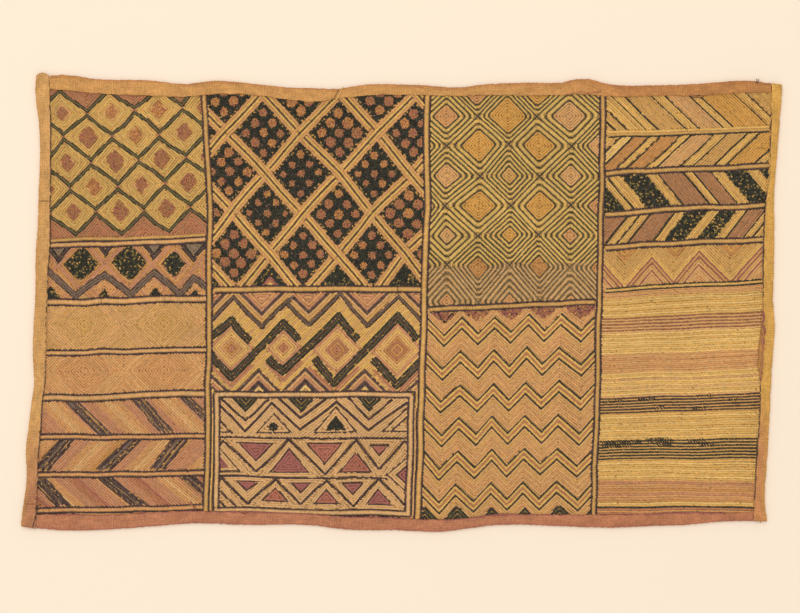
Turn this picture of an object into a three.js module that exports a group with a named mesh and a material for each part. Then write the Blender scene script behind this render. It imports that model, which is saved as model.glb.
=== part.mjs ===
import * as THREE from 'three';

// Embroidered raffia panel lying flat, face up. A woven ground panel carries the stitching, and folded
// strips of plain raffia weave bind its four raw edges. Millimetres, +X along the length, +Y across,
// +Z up, with the surface that the cloth lies on at z = 0.

// Thicknesses
const STRIP_THICKNESS = 1.0;
const RIM_THICKNESS = 1.0; // ground panel inside the fold, bare of stitching
const FIELD_THICKNESS = 2.0; // ground panel with its stitching and short pile
const CLEARANCE = 0.3; // between neighbouring pieces

// Folded strip, seen in section
const FOLD_HEIGHT = 2 * STRIP_THICKNESS + RIM_THICKNESS + 2 * CLEARANCE;
const FOLD_RADIUS = FOLD_HEIGHT / 2;
const BACK_FLAP = 7; // width of the flap under the ground panel
const OUTER_ARC_STEPS = 4;
const INNER_ARC_STEPS = 2;

// Ground panel, seen in section
const RIM_INSET = 2.2; // from the outside of the fold to the raw edge
const RIM_END_INSET = BACK_FLAP + 1; // to the end of the level rim, past the back flap
const FIELD_INSET = RIM_END_INSET + 12; // to where the panel has come down to the surface
const RIM_UNDERSIDE = STRIP_THICKNESS + CLEARANCE;

// Distance between sections along a side
const STATION_PITCH = 14;

// The edges of the four sides, measured from the middle of the cloth. Each row gives a place along the
// side, the outside of the fold there and the width of the front flap.
const TOP_ROWS = [
  { along: -351.2, edge: 227.5, width: 14 },
  { along: -333, edge: 228.5, width: 16 },
  { along: -314, edge: 225, width: 15 },
  { along: -294, edge: 223.5, width: 15 },
  { along: -254, edge: 223, width: 16 },
  { along: -215, edge: 219, width: 13 },
  { along: -187, edge: 222.5, width: 14 },
  { along: -154, edge: 220, width: 12 },
  { along: -111, edge: 215.5, width: 12.5 },
  { along: -87, edge: 215, width: 14.5 },
  { along: -62, edge: 214.5, width: 11.5 },
  { along: -37, edge: 218.5, width: 11.5 },
  { along: 20, edge: 218, width: 10.5 },
  { along: 58, edge: 215.5, width: 9 },
  { along: 80, edge: 218.5, width: 11 },
  { along: 126, edge: 220.5, width: 13.5 },
  { along: 160, edge: 220.5, width: 13 },
  { along: 182, edge: 225, width: 16.5 },
  { along: 209, edge: 218.5, width: 12.5 },
  { along: 258, edge: 218, width: 11 },
  { along: 299, edge: 219.5, width: 12.5 },
  { along: 349, edge: 222.5, width: 12 },
  { along: 369.7, edge: 219.5, width: 9.5 },
];
const BOTTOM_ROWS = [
  { along: -364.9, edge: -226, width: 14.5 },
  { along: -341, edge: -228, width: 16 },
  { along: -291, edge: -227, width: 14.5 },
  { along: -241, edge: -223.5, width: 14.5 },
  { along: -211, edge: -221, width: 12.5 },
  { along: -161, edge: -222.5, width: 12.5 },
  { along: -96, edge: -222.5, width: 11.5 },
  { along: -51, edge: -227.5, width: 13 },
  { along: -1, edge: -228, width: 12 },
  { along: 39, edge: -229.5, width: 12.5 },
  { along: 64, edge: -226.5, width: 10.5 },
  { along: 98, edge: -222.5, width: 10 },
  { along: 158, edge: -223.8, width: 11.8 },
  { along: 208, edge: -225.5, width: 13.5 },
  { along: 253, edge: -223.5, width: 12 },
  { along: 288, edge: -222.5, width: 12 },
  { along: 318, edge: -219.5, width: 8.5 },
  { along: 351.9, edge: -218.5, width: 9 },
];
const LEFT_ROWS = [
  { along: -223.5, edge: -381, width: 15.8 },
  { along: -209, edge: -379.5, width: 14.3 },
  { along: -197, edge: -377.5, width: 13 },
  { along: -177, edge: -375, width: 11.5 },
  { along: -148, edge: -376, width: 13.5 },
  { along: -127, edge: -373.5, width: 12.5 },
  { along: -102, edge: -370.5, width: 11.5 },
  { along: -82, edge: -367.5, width: 11.5 },
  { along: -52, edge: -369, width: 14 },
  { along: 8, edge: -366.5, width: 12.5 },
  { along: 56, edge: -365.7, width: 14 },
  { along: 78, edge: -363.8, width: 12.8 },
  { along: 101.5, edge: -363.5, width: 13 },
  { along: 142, edge: -361.7, width: 11.2 },
  { along: 178, edge: -362.5, width: 12 },
  { along: 197, edge: -365.2, width: 13.7 },
  { along: 211, edge: -366.5, width: 15 },
  { along: 227, edge: -365.5, width: 14 },
];
const RIGHT_ROWS = [
  { along: -218.5, edge: 366.5, width: 14.3 },
  { along: -210.5, edge: 365.5, width: 13.3 },
  { along: -200, edge: 363.5, width: 10.5 },
  { along: -182, edge: 364.5, width: 10.5 },
  { along: -137, edge: 367.5, width: 10.5 },
  { along: -107, edge: 369, width: 10.5 },
  { along: -80, edge: 370.2, width: 11.2 },
  { along: -62, edge: 371.2, width: 14.7 },
  { along: -16, edge: 374, width: 13.5 },
  { along: 2, edge: 371.8, width: 10.8 },
  { along: 18, edge: 372.8, width: 11.2 },
  { along: 48, edge: 373, width: 10.5 },
  { along: 72, edge: 373.5, width: 10.5 },
  { along: 107, edge: 373.2, width: 8.2 },
  { along: 142, edge: 375.7, width: 7.7 },
  { along: 182, edge: 379, width: 9.5 },
  { along: 202, edge: 380.7, width: 10.7 },
  { along: 218, edge: 381.5, width: 11.5 },
];

// Cut ends of the strips. A leaning cut moves along the side by its lean, from the outside of the fold to
// the seam, and a bulging one is rounded outwards.
const TOP_JOIN = { along: -62, lean: -5 };
const LEFT_JOIN = { along: 101.5, lean: 0 };
const LEFT_FOOT_LEAN = -2.5;
const LEFT_HEAD_BULGE = 3;
const RIGHT_HEAD_LEAN = 1.5;

// Whole number of sections along a stretch
function sectionCount(start, end) {
  return Math.max(2, Math.round((end - start) / STATION_PITCH));
}

// Evenly spaced numbers, from the first up to the one before the last
function spread(first, last, count) {
  return Array.from({ length: count }, (_, step) => THREE.MathUtils.lerp(first, last, step / count));
}

// A side runs along X or Y, and inward is the way across it to the middle of the cloth. edgeAt gives the
// outside of the fold and the width of the front flap at a place along it.
function makeSide(rows, alongX, inward) {
  const places = rows.map((row) => row.along);
  const values = rows.flatMap((row) => [row.edge, row.width]);
  const table = new THREE.CubicInterpolant(places, values, 2);
  return {
    start: places[0],
    end: places[places.length - 1],
    edgeAt(along) {
      const [edge, width] = table.evaluate(along);
      return { edge, width };
    },
    plan(along, edge, inset) {
      const across = edge + inward * inset;
      return alongX ? new THREE.Vector2(along, across) : new THREE.Vector2(across, along);
    },
  };
}

// Half turn of the fold about its middle, from the underside round the outside to the top
function foldArc(radius, steps) {
  const angles = [...spread(-Math.PI / 2, -1.5 * Math.PI, steps), -1.5 * Math.PI];
  return angles.map(
    (angle) =>
      new THREE.Vector2(FOLD_RADIUS + radius * Math.cos(angle), FOLD_RADIUS + radius * Math.sin(angle)),
  );
}

// Section of a folded strip: distance in from the outside of the fold, and height
function foldedSection(frontFlap) {
  return [
    new THREE.Vector2(BACK_FLAP, 0),
    ...foldArc(FOLD_RADIUS, OUTER_ARC_STEPS),
    new THREE.Vector2(frontFlap, FOLD_HEIGHT),
    new THREE.Vector2(frontFlap, FOLD_HEIGHT - STRIP_THICKNESS),
    ...foldArc(FOLD_RADIUS - STRIP_THICKNESS, INNER_ARC_STEPS).reverse(),
    new THREE.Vector2(BACK_FLAP, STRIP_THICKNESS),
  ];
}

// Triangles that fill a flat outline, wound the same way as the outline
function fillOutline(outline) {
  const turn = Math.sign(THREE.ShapeUtils.area(outline));
  return THREE.ShapeUtils.triangulateShape(outline, []).map(([a, b, c]) => {
    const area = THREE.ShapeUtils.area([outline[a], outline[b], outline[c]]);
    return Math.sign(area) === turn ? [a, b, c] : [a, c, b];
  });
}

// Geometry of a closed solid, turned so that its faces point out
function closedGeometry(points, triangles) {
  const volume = triangles.reduce(
    (sum, [a, b, c]) => sum + points[a].dot(points[b].clone().cross(points[c])),
    0,
  );
  const outward = volume > 0 ? triangles : triangles.map(([a, b, c]) => [a, c, b]);
  const geometry = new THREE.BufferGeometry().setFromPoints(points);
  geometry.setIndex(outward.flat());
  geometry.computeVertexNormals();
  return geometry;
}

// Solid through a row of closed rings of equal length, its first and last ring filled by endTriangles
function loft(rings, endTriangles) {
  const size = rings[0].length;
  const triangles = [];
  for (let ring = 0; ring + 1 < rings.length; ring += 1) {
    for (let corner = 0; corner < size; corner += 1) {
      const here = ring * size + corner;
      const beside = ring * size + ((corner + 1) % size);
      triangles.push([here, beside, beside + size], [here, beside + size, here + size]);
    }
  }
  const last = (rings.length - 1) * size;
  for (const [a, b, c] of endTriangles) {
    triangles.push([c, b, a], [last + a, last + b, last + c]);
  }
  return closedGeometry(rings.flat(), triangles);
}

// A binding strip folded over one stretch of a side, from one cut end to the other
function foldedStrip(side, first, last) {
  const between = spread(first.along, last.along, sectionCount(first.along, last.along)).slice(1);
  const cuts = [first, ...between.map((along) => ({ along })), last];
  const rings = cuts.map(({ along, lean = 0, bulge = 0 }) => {
    const { edge, width } = side.edgeAt(along);
    return foldedSection(width).map(({ x: inset, y: height }) => {
      const share = inset / width;
      const shift = lean * share + bulge * Math.sin(Math.PI * share);
      const { x, y } = side.plan(along + shift, edge, inset);
      return new THREE.Vector3(x, y, height);
    });
  });
  return loft(rings, fillOutline(foldedSection(side.edgeAt(first.along).width)));
}

// Outline of the ground panel at a distance in from the outside of the folds, anticlockwise. All such
// outlines have the same number of points.
function groundOutline({ top, bottom, left, right }, inset) {
  const at = (side, along) => side.plan(along, side.edgeAt(along).edge, inset);
  const stretch = (side, from, to) =>
    spread(from, to, sectionCount(side.start, side.end)).map((along) => at(side, along));
  const lowLeft = { x: at(left, left.start).x, y: at(bottom, bottom.start).y };
  const lowRight = { x: at(right, right.start).x, y: at(bottom, bottom.end).y };
  const highRight = { x: at(right, right.end).x, y: at(top, top.end).y };
  const highLeft = { x: at(left, left.end).x, y: at(top, top.start).y };
  return [
    ...stretch(bottom, lowLeft.x, lowRight.x),
    ...stretch(right, lowRight.y, highRight.y),
    ...stretch(top, highRight.x, highLeft.x),
    ...stretch(left, highLeft.y, lowLeft.y),
  ];
}

// Ground panel: level inside the folds, then down to the surface, flat all over the field
function groundPanel(sides) {
  const rings = [
    { inset: FIELD_INSET, height: 0 },
    { inset: RIM_END_INSET, height: RIM_UNDERSIDE },
    { inset: RIM_INSET, height: RIM_UNDERSIDE },
    { inset: RIM_INSET, height: RIM_UNDERSIDE + RIM_THICKNESS },
    { inset: RIM_END_INSET, height: RIM_UNDERSIDE + RIM_THICKNESS },
    { inset: FIELD_INSET, height: FIELD_THICKNESS },
  ].map(({ inset, height }) =>
    groundOutline(sides, inset).map(({ x, y }) => new THREE.Vector3(x, y, height)),
  );
  return loft(rings, fillOutline(groundOutline(sides, FIELD_INSET)));
}

function clothMesh(name, geometry, colour, roughness) {
  const material = new THREE.MeshStandardMaterial({ color: colour, roughness, metalness: 0 });
  const mesh = new THREE.Mesh(geometry, material);
  mesh.name = name;
  return mesh;
}

const sides = {
  top: makeSide(TOP_ROWS, true, -1),
  bottom: makeSide(BOTTOM_ROWS, true, 1),
  left: makeSide(LEFT_ROWS, false, 1),
  right: makeSide(RIGHT_ROWS, false, -1),
};

// The two cuts of a join, half the clearance either side of it
function joinCuts({ along, lean }) {
  return { before: { along: along - CLEARANCE / 2, lean }, after: { along: along + CLEARANCE / 2, lean } };
}

const topJoin = joinCuts(TOP_JOIN);
const leftJoin = joinCuts(LEFT_JOIN);
const leftFoot = { along: sides.left.start, lean: LEFT_FOOT_LEAN };
const leftHead = { along: sides.left.end, bulge: LEFT_HEAD_BULGE };
const rightFoot = { along: sides.right.start };
const rightHead = { along: sides.right.end, lean: RIGHT_HEAD_LEAN };
const topStart = { along: sides.top.start };
const topEnd = { along: sides.top.end };
const bottomStart = { along: sides.bottom.start };
const bottomEnd = { along: sides.bottom.end };

const cloth = new THREE.Group();
cloth.name = 'raffia_cloth';
cloth.add(
  clothMesh('ground_panel', groundPanel(sides), 0xc69658, 0.92),
  clothMesh('border_left_lower', foldedStrip(sides.left, leftFoot, leftJoin.before), 0xc4915c, 0.88),
  clothMesh('border_left_upper', foldedStrip(sides.left, leftJoin.after, leftHead), 0xcd9d61, 0.88),
  clothMesh('border_top_left', foldedStrip(sides.top, topStart, topJoin.before), 0xc88f55, 0.88),
  clothMesh('border_top_right', foldedStrip(sides.top, topJoin.after, topEnd), 0xbe824c, 0.88),
  clothMesh('border_right', foldedStrip(sides.right, rightFoot, rightHead), 0xce9c5c, 0.88),
  clothMesh('border_bottom', foldedStrip(sides.bottom, bottomStart, bottomEnd), 0xb57853, 0.88),
);

// The origin is the middle of the whole cloth, on the surface below it
const middle = new THREE.Box3().setFromObject(cloth, true).getCenter(new THREE.Vector3());
cloth.position.set(-middle.x, -middle.y, 0);

export default cloth;
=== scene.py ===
import math

import bpy
import numpy as np
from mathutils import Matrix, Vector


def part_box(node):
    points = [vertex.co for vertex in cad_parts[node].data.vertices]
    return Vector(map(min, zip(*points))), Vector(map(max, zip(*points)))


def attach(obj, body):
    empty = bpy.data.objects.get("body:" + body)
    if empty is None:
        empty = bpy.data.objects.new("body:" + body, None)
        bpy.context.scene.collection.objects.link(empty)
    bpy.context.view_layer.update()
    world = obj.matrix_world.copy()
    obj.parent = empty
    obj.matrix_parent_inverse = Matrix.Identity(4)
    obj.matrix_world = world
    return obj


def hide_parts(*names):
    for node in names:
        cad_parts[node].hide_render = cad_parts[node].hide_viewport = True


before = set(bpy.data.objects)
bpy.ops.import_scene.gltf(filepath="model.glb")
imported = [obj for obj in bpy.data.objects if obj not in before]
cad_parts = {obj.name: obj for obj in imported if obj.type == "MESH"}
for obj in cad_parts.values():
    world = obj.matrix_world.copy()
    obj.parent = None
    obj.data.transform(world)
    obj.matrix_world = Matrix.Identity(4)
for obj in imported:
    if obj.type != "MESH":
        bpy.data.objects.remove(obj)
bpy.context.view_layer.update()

MM = 0.001

# The working chart is a plain grid in millimetres laid over the cloth. Its first number runs to the right
# and its second runs down, from a zero beyond the cloth's upper left corner.
CHART_ZERO = (-401.5, 302.5)
CHART_SIZE = (800, 600)
CELL = 0.5

# Heights and widths of the layers, in millimetres
GROUND_THICKNESS = 0.8
BACK_FLAP_LIFT = 0.95
STRIP_THICKNESS = 0.9
FOLD_HEIGHT = 3.6
BACK_FLAP = 6.5
STRIP_STEP = 2.0
UNDERLAP = 4.0
SEAM_LIFT = 1.5
MEND_LIFT = 2.0

# The ground comes down from the back flaps this far in from the edge, over this run
LIFT_END = 22.0
LIFT_RUN = 14.0

# Stem stitch, in millimetres
ROW_PITCH = 2.1
STITCH_STEP = 3.0
STITCH_LENGTH = 5.6
STITCH_HEIGHT = 0.5
STITCH_SINK = 0.12
SHOULDER_RISE = 0.16
STITCH_SLANT = math.radians(7)
LINE_LIFT = 0.22
SHORTEST_LEG = 0.4

# Single stitches on top of dark work, in millimetres
FLECK_REACH = 1.1
FLECK_WIDTH = 0.85
SLANTED_GAP = 2.6
SLANTED_PITCH = 2.2
SLANTED_REACH = 0.36

# Cut pile, in millimetres
TUFT_PITCH = 1.65
TUFT_FOOT = 2.0
TUFT_TIP = 0.95
TUFT_HEIGHT = 1.2
TUFT_SINK = 0.1

# Raffia threads as dyed, sRGB
THREADS = {
    "gold": (212, 165, 90),
    "light": (222, 179, 107),
    "straw": (204, 164, 89),
    "pale": (208, 161, 106),
    "dull": (199, 151, 85),
    "tan": (206, 155, 97),
    "buff": (192, 149, 95),
    "orange": (201, 145, 90),
    "amber": (204, 150, 74),
    "copper": (190, 134, 75),
    "pink": (187, 130, 91),
    "rust": (176, 116, 79),
    "brick": (168, 102, 80),
    "mauve": (158, 94, 82),
    "brown": (168, 118, 78),
    "ash": (136, 112, 86),
    "olive": (138, 116, 64),
    "umber": (104, 89, 62),
    "grey": (97, 75, 66),
    "dusk": (75, 56, 53),
    "soot": (73, 67, 50),
    "black": (57, 55, 44),
}
THREAD_NAMES = list(THREADS)
FINE_THREADS = ("black", "soot", "dusk", "grey", "umber")
FINE_SHARE = 0.55

# Each pile is a mix of threads, with the share of each
PILES = {
    "black_pile": {"black": 0.85, "olive": 0.12, "dull": 0.03},
    "edge_pile": {"black": 0.72, "olive": 0.1, "dull": 0.18},
    "dark_pile": {"black": 0.95, "grey": 0.05},
    "rust_pile": {"rust": 0.42, "brown": 0.45, "mauve": 0.13},
    "tan_pile": {"rust": 0.45, "copper": 0.42, "orange": 0.13},
    "maroon_pile": {"mauve": 0.45, "brown": 0.41, "grey": 0.09, "dull": 0.05},
}

DICE = np.random.default_rng(7)


def linear(srgb):
    """Scene colour of an sRGB colour given in 0 to 255."""
    share = np.asarray(srgb, float) / 255
    return np.where(share <= 0.04045, share / 12.92, ((share + 0.055) / 1.055) ** 2.4)


PALETTE = np.array([linear(THREADS[name]) for name in THREAD_NAMES])


def drift(seed, reach, shortest, longest, waves=8):
    """A smooth random function of place, which stays about within the reach."""
    dice = np.random.default_rng(seed)
    lengths = dice.uniform(shortest, longest, waves)
    headings = dice.uniform(0, 2 * np.pi, waves)
    phases = dice.uniform(0, 2 * np.pi, waves)

    def at(x, y):
        total = 0.0
        for length, heading, phase in zip(lengths, headings, phases):
            run = x * np.cos(heading) + y * np.sin(heading)
            total = total + np.sin(2 * np.pi * run / length + phase)
        return reach * total / math.sqrt(waves)

    return at


# Outline of the cloth, read from the border solids

# The strips' ends are cut uneven over this length
END_CUT = 3.2


def plan_segments(node):
    """The edges of a solid seen from above, in millimetres: one row of two points for each."""
    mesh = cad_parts[node].data
    points = np.empty(3 * len(mesh.vertices))
    mesh.vertices.foreach_get("co", points)
    ends = np.empty(2 * len(mesh.edges), int)
    mesh.edges.foreach_get("vertices", ends)
    return points.reshape(-1, 3)[ends.reshape(-1, 2), :2] / MM


class Side:
    """One side of the cloth: where the outside of the fold and the seam lie, along it."""

    STEP = 2.0

    def __init__(self, nodes, axis, outward):
        segments = np.concatenate([plan_segments(node) for node in nodes])
        along = segments[:, :, axis]
        across = segments[:, :, 1 - axis] * outward
        low, high = along.min(1), along.max(1)
        rows = []
        for place in np.arange(low.min() + END_CUT, high.max() - END_CUT, self.STEP):
            crossing = (low < place) & (high > place)
            if not crossing.any():
                continue
            run = along[crossing]
            share = (place - run[:, 0]) / (run[:, 1] - run[:, 0])
            reach = across[crossing, 0] + share * np.diff(across[crossing])[:, 0]
            rows.append((place, reach.max() * outward, reach.min() * outward))
        self.axis = axis
        self.outward = outward
        self.places, self.outer, self.seam = np.array(rows).T

    def outer_at(self, along):
        return np.interp(along, self.places, self.outer)

    def seam_at(self, along):
        return np.interp(along, self.places, self.seam)

    def inside(self, x, y):
        """How far a place lies in from the outside of this side's fold."""
        along, across = (x, y) if self.axis == 0 else (y, x)
        return self.outward * (self.outer_at(along) - across)

    def past_seam(self, x, y):
        """How far a place lies in from this side's seam."""
        along, across = (x, y) if self.axis == 0 else (y, x)
        return self.outward * (self.seam_at(along) - across)


TOP = Side(["border_top_left", "border_top_right"], axis=0, outward=1)
BOTTOM = Side(["border_bottom"], axis=0, outward=-1)
LEFT = Side(["border_left_lower", "border_left_upper"], axis=1, outward=-1)
RIGHT = Side(["border_right"], axis=1, outward=1)
SIDES = (TOP, BOTTOM, LEFT, RIGHT)


def edge_distance(x, y):
    """Millimetres in from the nearest side, at a place given from the middle of the cloth."""
    return np.minimum.reduce([side.inside(x, y) for side in SIDES])


def seam_distance(x, y):
    """Millimetres in from the nearest border seam."""
    return np.minimum.reduce([side.past_seam(x, y) for side in SIDES])


RIPPLE = drift(seed=21, reach=0.3, shortest=60, longest=160)


def lie(x, y):
    """Height of the ground's underside: up on the back flaps at the edges, with shallow ripples."""
    share = np.clip((LIFT_END - edge_distance(x, y)) / LIFT_RUN, 0, 1)
    lifted = BACK_FLAP_LIFT * share * share * (3 - 2 * share)
    return lifted + np.abs(RIPPLE(x, y)) * (1 - share)


# Needlework


def row_width(thread, pitch):
    """Dark rows are sewn with finer strands."""
    return pitch * (FINE_SHARE if thread in FINE_THREADS else 1.0)


class Needlework:
    """Stitches and tufts in sewing order, on the chart. Later work takes the place of what it covers."""

    def __init__(self, field):
        rows, columns = field.shape
        self.x = (np.arange(columns) + 0.5) * CELL
        self.y = (np.arange(rows) + 0.5) * CELL
        self.field = field
        self.region = field
        self.owner = np.zeros((rows, columns), int)
        self.patch = 0
        self.stitches = []
        self.tufts = []

    def within(self, left=None, right=None, upper=None, lower=None):
        """Keeps the work that follows between two dividers and two cross lines."""
        x, y = self.x[None, :], self.y[:, None]
        region = self.field.copy()
        if left:
            region &= x > left(y)
        if right:
            region &= x < right(y)
        if upper:
            region &= y > upper(x)
        if lower:
            region &= y < lower(x)
        self.region = region

    def window(self, points, margin=0.0):
        """The part of the chart round some points: its rows, its columns and their places."""
        low = np.floor((np.min(points, 0) - margin) / CELL).astype(int)
        high = np.ceil((np.max(points, 0) + margin) / CELL).astype(int) + 1
        low = np.clip(low, 0, None)
        high = np.clip(high, 0, None)
        rows, columns = slice(low[1], high[1]), slice(low[0], high[0])
        return rows, columns, self.x[columns][None, :], self.y[rows][:, None]

    def take(self, rows, columns, covered):
        self.owner[rows, columns][covered & self.region[rows, columns]] = self.patch

    def take_shape(self, corners):
        """A new patch over a convex shape."""
        self.patch += 1
        corners = np.asarray(corners, float)
        rows, columns, x, y = self.window(corners)
        after = np.roll(corners, -1, 0)
        turn = np.sign(np.sum(corners[:, 0] * after[:, 1] - after[:, 0] * corners[:, 1]))
        covered = np.ones((y.shape[0], x.shape[1]), bool)
        for (ax, ay), (bx, by) in zip(corners, after):
            covered &= turn * ((bx - ax) * (y - ay) - (by - ay) * (x - ax)) >= 0
        self.take(rows, columns, covered)

    def take_band(self, points, reach):
        """A new patch within reach of a line of straight legs, cut square at its ends."""
        self.patch += 1
        last = len(points) - 2
        for index, (start, end) in enumerate(zip(points[:-1], points[1:])):
            rows, columns, x, y = self.window([start, end], reach)
            leg = end - start
            share = ((x - start[0]) * leg[0] + (y - start[1]) * leg[1]) / (leg @ leg)
            near = np.clip(share, 0, 1)
            gap = np.hypot(x - start[0] - near * leg[0], y - start[1] - near * leg[1])
            covered = gap <= reach
            if index == 0:
                covered &= share >= 0
            if index == last:
                covered &= share <= 1
            self.take(rows, columns, covered)

    def row(self, points, thread, width, lift=0.0):
        """One row of stem stitches along straight legs, in the patch that was taken last.

        Each stitch is a little uneven in its place, length and heading.
        """
        points = np.asarray(points, float)
        row_tone = DICE.normal(0, 0.03)
        for start, end in zip(points[:-1], points[1:]):
            leg = end - start
            length = np.hypot(*leg)
            if length < SHORTEST_LEG:
                continue
            count = max(1, round(length / STITCH_STEP))
            first = DICE.uniform(0, 1) if count > 8 else 0.5
            shares = (np.arange(count) + first + DICE.normal(0, 0.08, count)) / count
            half = 0.5 * min(STITCH_LENGTH, 1.3 * length) * DICE.uniform(0.9, 1.1, count)
            heading = math.atan2(leg[1], leg[0]) + STITCH_SLANT + DICE.normal(0, 0.05, count)
            side = DICE.normal(0, 0.12, count) / length
            self.stitches.append(np.column_stack([
                start[0] + shares * leg[0] - side * leg[1],
                start[1] + shares * leg[1] + side * leg[0],
                half * np.cos(heading),
                half * np.sin(heading),
                np.full(count, width),
                np.full(count, lift),
                np.full(count, THREAD_NAMES.index(thread)),
                np.full(count, row_tone),
                np.full(count, self.patch),
            ]))

    @staticmethod
    def with_pitch(threads, pitch):
        """Each thread with its pitch, which is the common one unless it comes with its own."""
        return [entry if isinstance(entry, tuple) else (entry, pitch) for entry in threads]

    def line(self, points, threads, pitch=ROW_PITCH, lift=LINE_LIFT):
        """Parallel rows along a line, on top of what lies there. A thread may come with its own pitch."""
        points = np.asarray(points, float)
        rows = self.with_pitch(threads, pitch)
        widths = np.array([row_width(*row) for row in rows])
        self.take_band(points, 0.5 * widths.sum())
        for (thread, _), width, far_edge in zip(rows, widths, np.cumsum(widths)):
            middle = far_edge - 0.5 * width - 0.5 * widths.sum()
            self.row(beside(points, middle), thread, width, lift)

    def fill(self, corners, heading, threads, start):
        """Straight rows over a shape. The threads repeat in order from the row through start."""
        corners = np.asarray(corners, float)
        self.take_shape(corners)
        heading = np.asarray(heading, float) / np.hypot(*heading)
        sideways = np.array([-heading[1], heading[0]])
        runs = (corners - start) @ heading
        steps = (corners - start) @ sideways / ROW_PITCH
        for step in range(math.floor(steps.min()), math.ceil(steps.max()) + 1):
            middle = start + step * ROW_PITCH * sideways
            ends = [middle + run * heading for run in (runs.min(), runs.max())]
            self.row(ends, threads[step % len(threads)], ROW_PITCH)

    def rings(self, corners, threads, pitch=ROW_PITCH, inset=0.0, blunt=0.0):
        """Rows round and round inside a diamond or triangle. The last thread fills the middle."""
        corners = np.asarray(corners, float)
        rows = self.with_pitch(threads, pitch)
        self.take_shape(corners)
        middle, radius = inner_circle(corners)
        depth, index = inset, 0
        while depth < radius - 0.3:
            thread, own_pitch = rows[min(index, len(rows) - 1)]
            width = row_width(thread, own_pitch)
            scale = 1 - (depth + 0.5 * width) / radius
            if radius - depth > 0.8 * width:
                ring = middle + (corners - middle) * scale
                self.row(closed(ring, blunt), thread, width)
            else:
                reach = np.array([1.2 * pitch, 0.0])
                self.row([middle - reach, middle + reach], thread, own_pitch)
            depth += width
            index += 1

    def pile(self, corners, mix):
        """Cut pile over a convex shape."""
        corners = np.asarray(corners, float)
        self.take_shape(corners)
        low, high = corners.min(0), corners.max(0)
        columns = np.arange(low[0], high[0], TUFT_PITCH)
        rows = np.arange(low[1], high[1], TUFT_PITCH * 0.87)
        x, y = np.meshgrid(columns, rows)
        x = x + 0.5 * TUFT_PITCH * (np.arange(len(rows)) % 2)[:, None]
        count = x.size
        shares = np.array(list(PILES[mix].values()))
        names = [THREAD_NAMES.index(name) for name in PILES[mix]]
        self.tufts.append(np.column_stack([
            x.ravel() + DICE.normal(0, 0.22, count),
            y.ravel() + DICE.normal(0, 0.22, count),
            DICE.choice(names, count, p=shares / shares.sum()),
            np.full(count, self.patch),
        ]))

    def kept(self, rows):
        """The stitches or tufts whose place no later work took. Their last number is their patch."""
        table = np.concatenate(rows)
        columns = np.clip((table[:, 0] / CELL).astype(int), 0, len(self.x) - 1)
        lines = np.clip((table[:, 1] / CELL).astype(int), 0, len(self.y) - 1)
        return table[self.owner[lines, columns] == table[:, -1]]


def beside(points, distance):
    """A line of straight legs moved sideways, with mitred corners."""
    legs = np.diff(points, axis=0)
    legs = legs / np.hypot(legs[:, 0], legs[:, 1])[:, None]
    normals = np.column_stack([-legs[:, 1], legs[:, 0]])
    before = np.vstack([normals[:1], normals])
    after = np.vstack([normals, normals[-1:]])
    mitres = (before + after) / (1 + np.sum(before * after, 1))[:, None]
    return points + distance * mitres


def closed(corners, blunt):
    """A line all round a shape, with its corners cut off by a share of the sides."""
    if blunt:
        before = corners + blunt * (np.roll(corners, 1, 0) - corners)
        after = corners + blunt * (np.roll(corners, -1, 0) - corners)
        corners = np.stack([before, after], 1).reshape(-1, 2)
    return np.vstack([corners, corners[:1]])


def inner_circle(corners):
    """Middle and radius of the circle that touches every side of a triangle or diamond."""
    middle = corners.mean(0)
    if len(corners) == 3:
        facing = np.hypot(*(np.roll(corners, -1, 0) - np.roll(corners, -2, 0)).T)
        middle = facing @ corners / facing.sum()
    legs = np.roll(corners, -1, 0) - corners
    to_middle = middle - corners
    gaps = np.abs(legs[:, 0] * to_middle[:, 1] - legs[:, 1] * to_middle[:, 0]) / np.hypot(*legs.T)
    return middle, gaps.min()


def diamond(middle, half_wide, half_high):
    return np.array(middle) + np.array([(0, -half_high), (half_wide, 0), (0, half_high), (-half_wide, 0)])


def triangle(tip, base_y, half):
    """A triangle with a level base, its tip above or below it."""
    return np.array([tip, (tip[0] + half, base_y), (tip[0] - half, base_y)], float)


def box(left, upper, right, lower):
    return [(left, upper), (right, upper), (right, lower), (left, lower)]


def spot(middle, half_wide, half_high, power=1.35, rough=0.05, sides=12):
    """An uneven spot. Power 1 gives a diamond, and 2 a round."""
    turns = 2 * np.pi * np.arange(sides) / sides
    run, rise = np.cos(turns), np.sin(turns)
    reach = (np.abs(run) ** power + np.abs(rise) ** power) ** (-1 / power)
    reach *= DICE.uniform(1 - rough, 1 + rough, sides)
    return np.column_stack([middle[0] + half_wide * reach * run, middle[1] + half_high * reach * rise])


def through(rows):
    """A smooth line down the chart through a few rows of (down, right)."""
    down, right = np.array(rows, float).T
    bend = np.polynomial.Polynomial.fit(down, right, min(3, len(rows) - 1))
    return lambda y: bend(np.asarray(y, float))


def cross_line(left, right):
    """A straight line through two points, as a function of the place to the right."""
    slope = (right[1] - left[1]) / (right[0] - left[0])
    return lambda x: left[1] + slope * (np.asarray(x, float) - left[0])


# Dividers between the columns, on the chart
DIVIDER_ONE = through([(95, 204.6), (150, 206.6), (250, 210), (350, 208.7), (450, 206.3), (510, 206.3)])
DIVIDER_TWO = through([(95, 427.3), (200, 427), (300, 424.2), (400, 421.8), (510, 417.8)])
DIVIDER_THREE = through([(95, 603), (200, 601), (300, 599.7), (400, 596.4), (510, 593.9)])
DIVIDERS = (DIVIDER_ONE, DIVIDER_TWO, DIVIDER_THREE)
DIVIDER_GAPS = (3.8, 4.4, 3.4)
DIVIDER_SPAN = (84, 524)
DIVIDER_POINTS = 23
DOUBLE_GAP = 3.6

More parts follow.
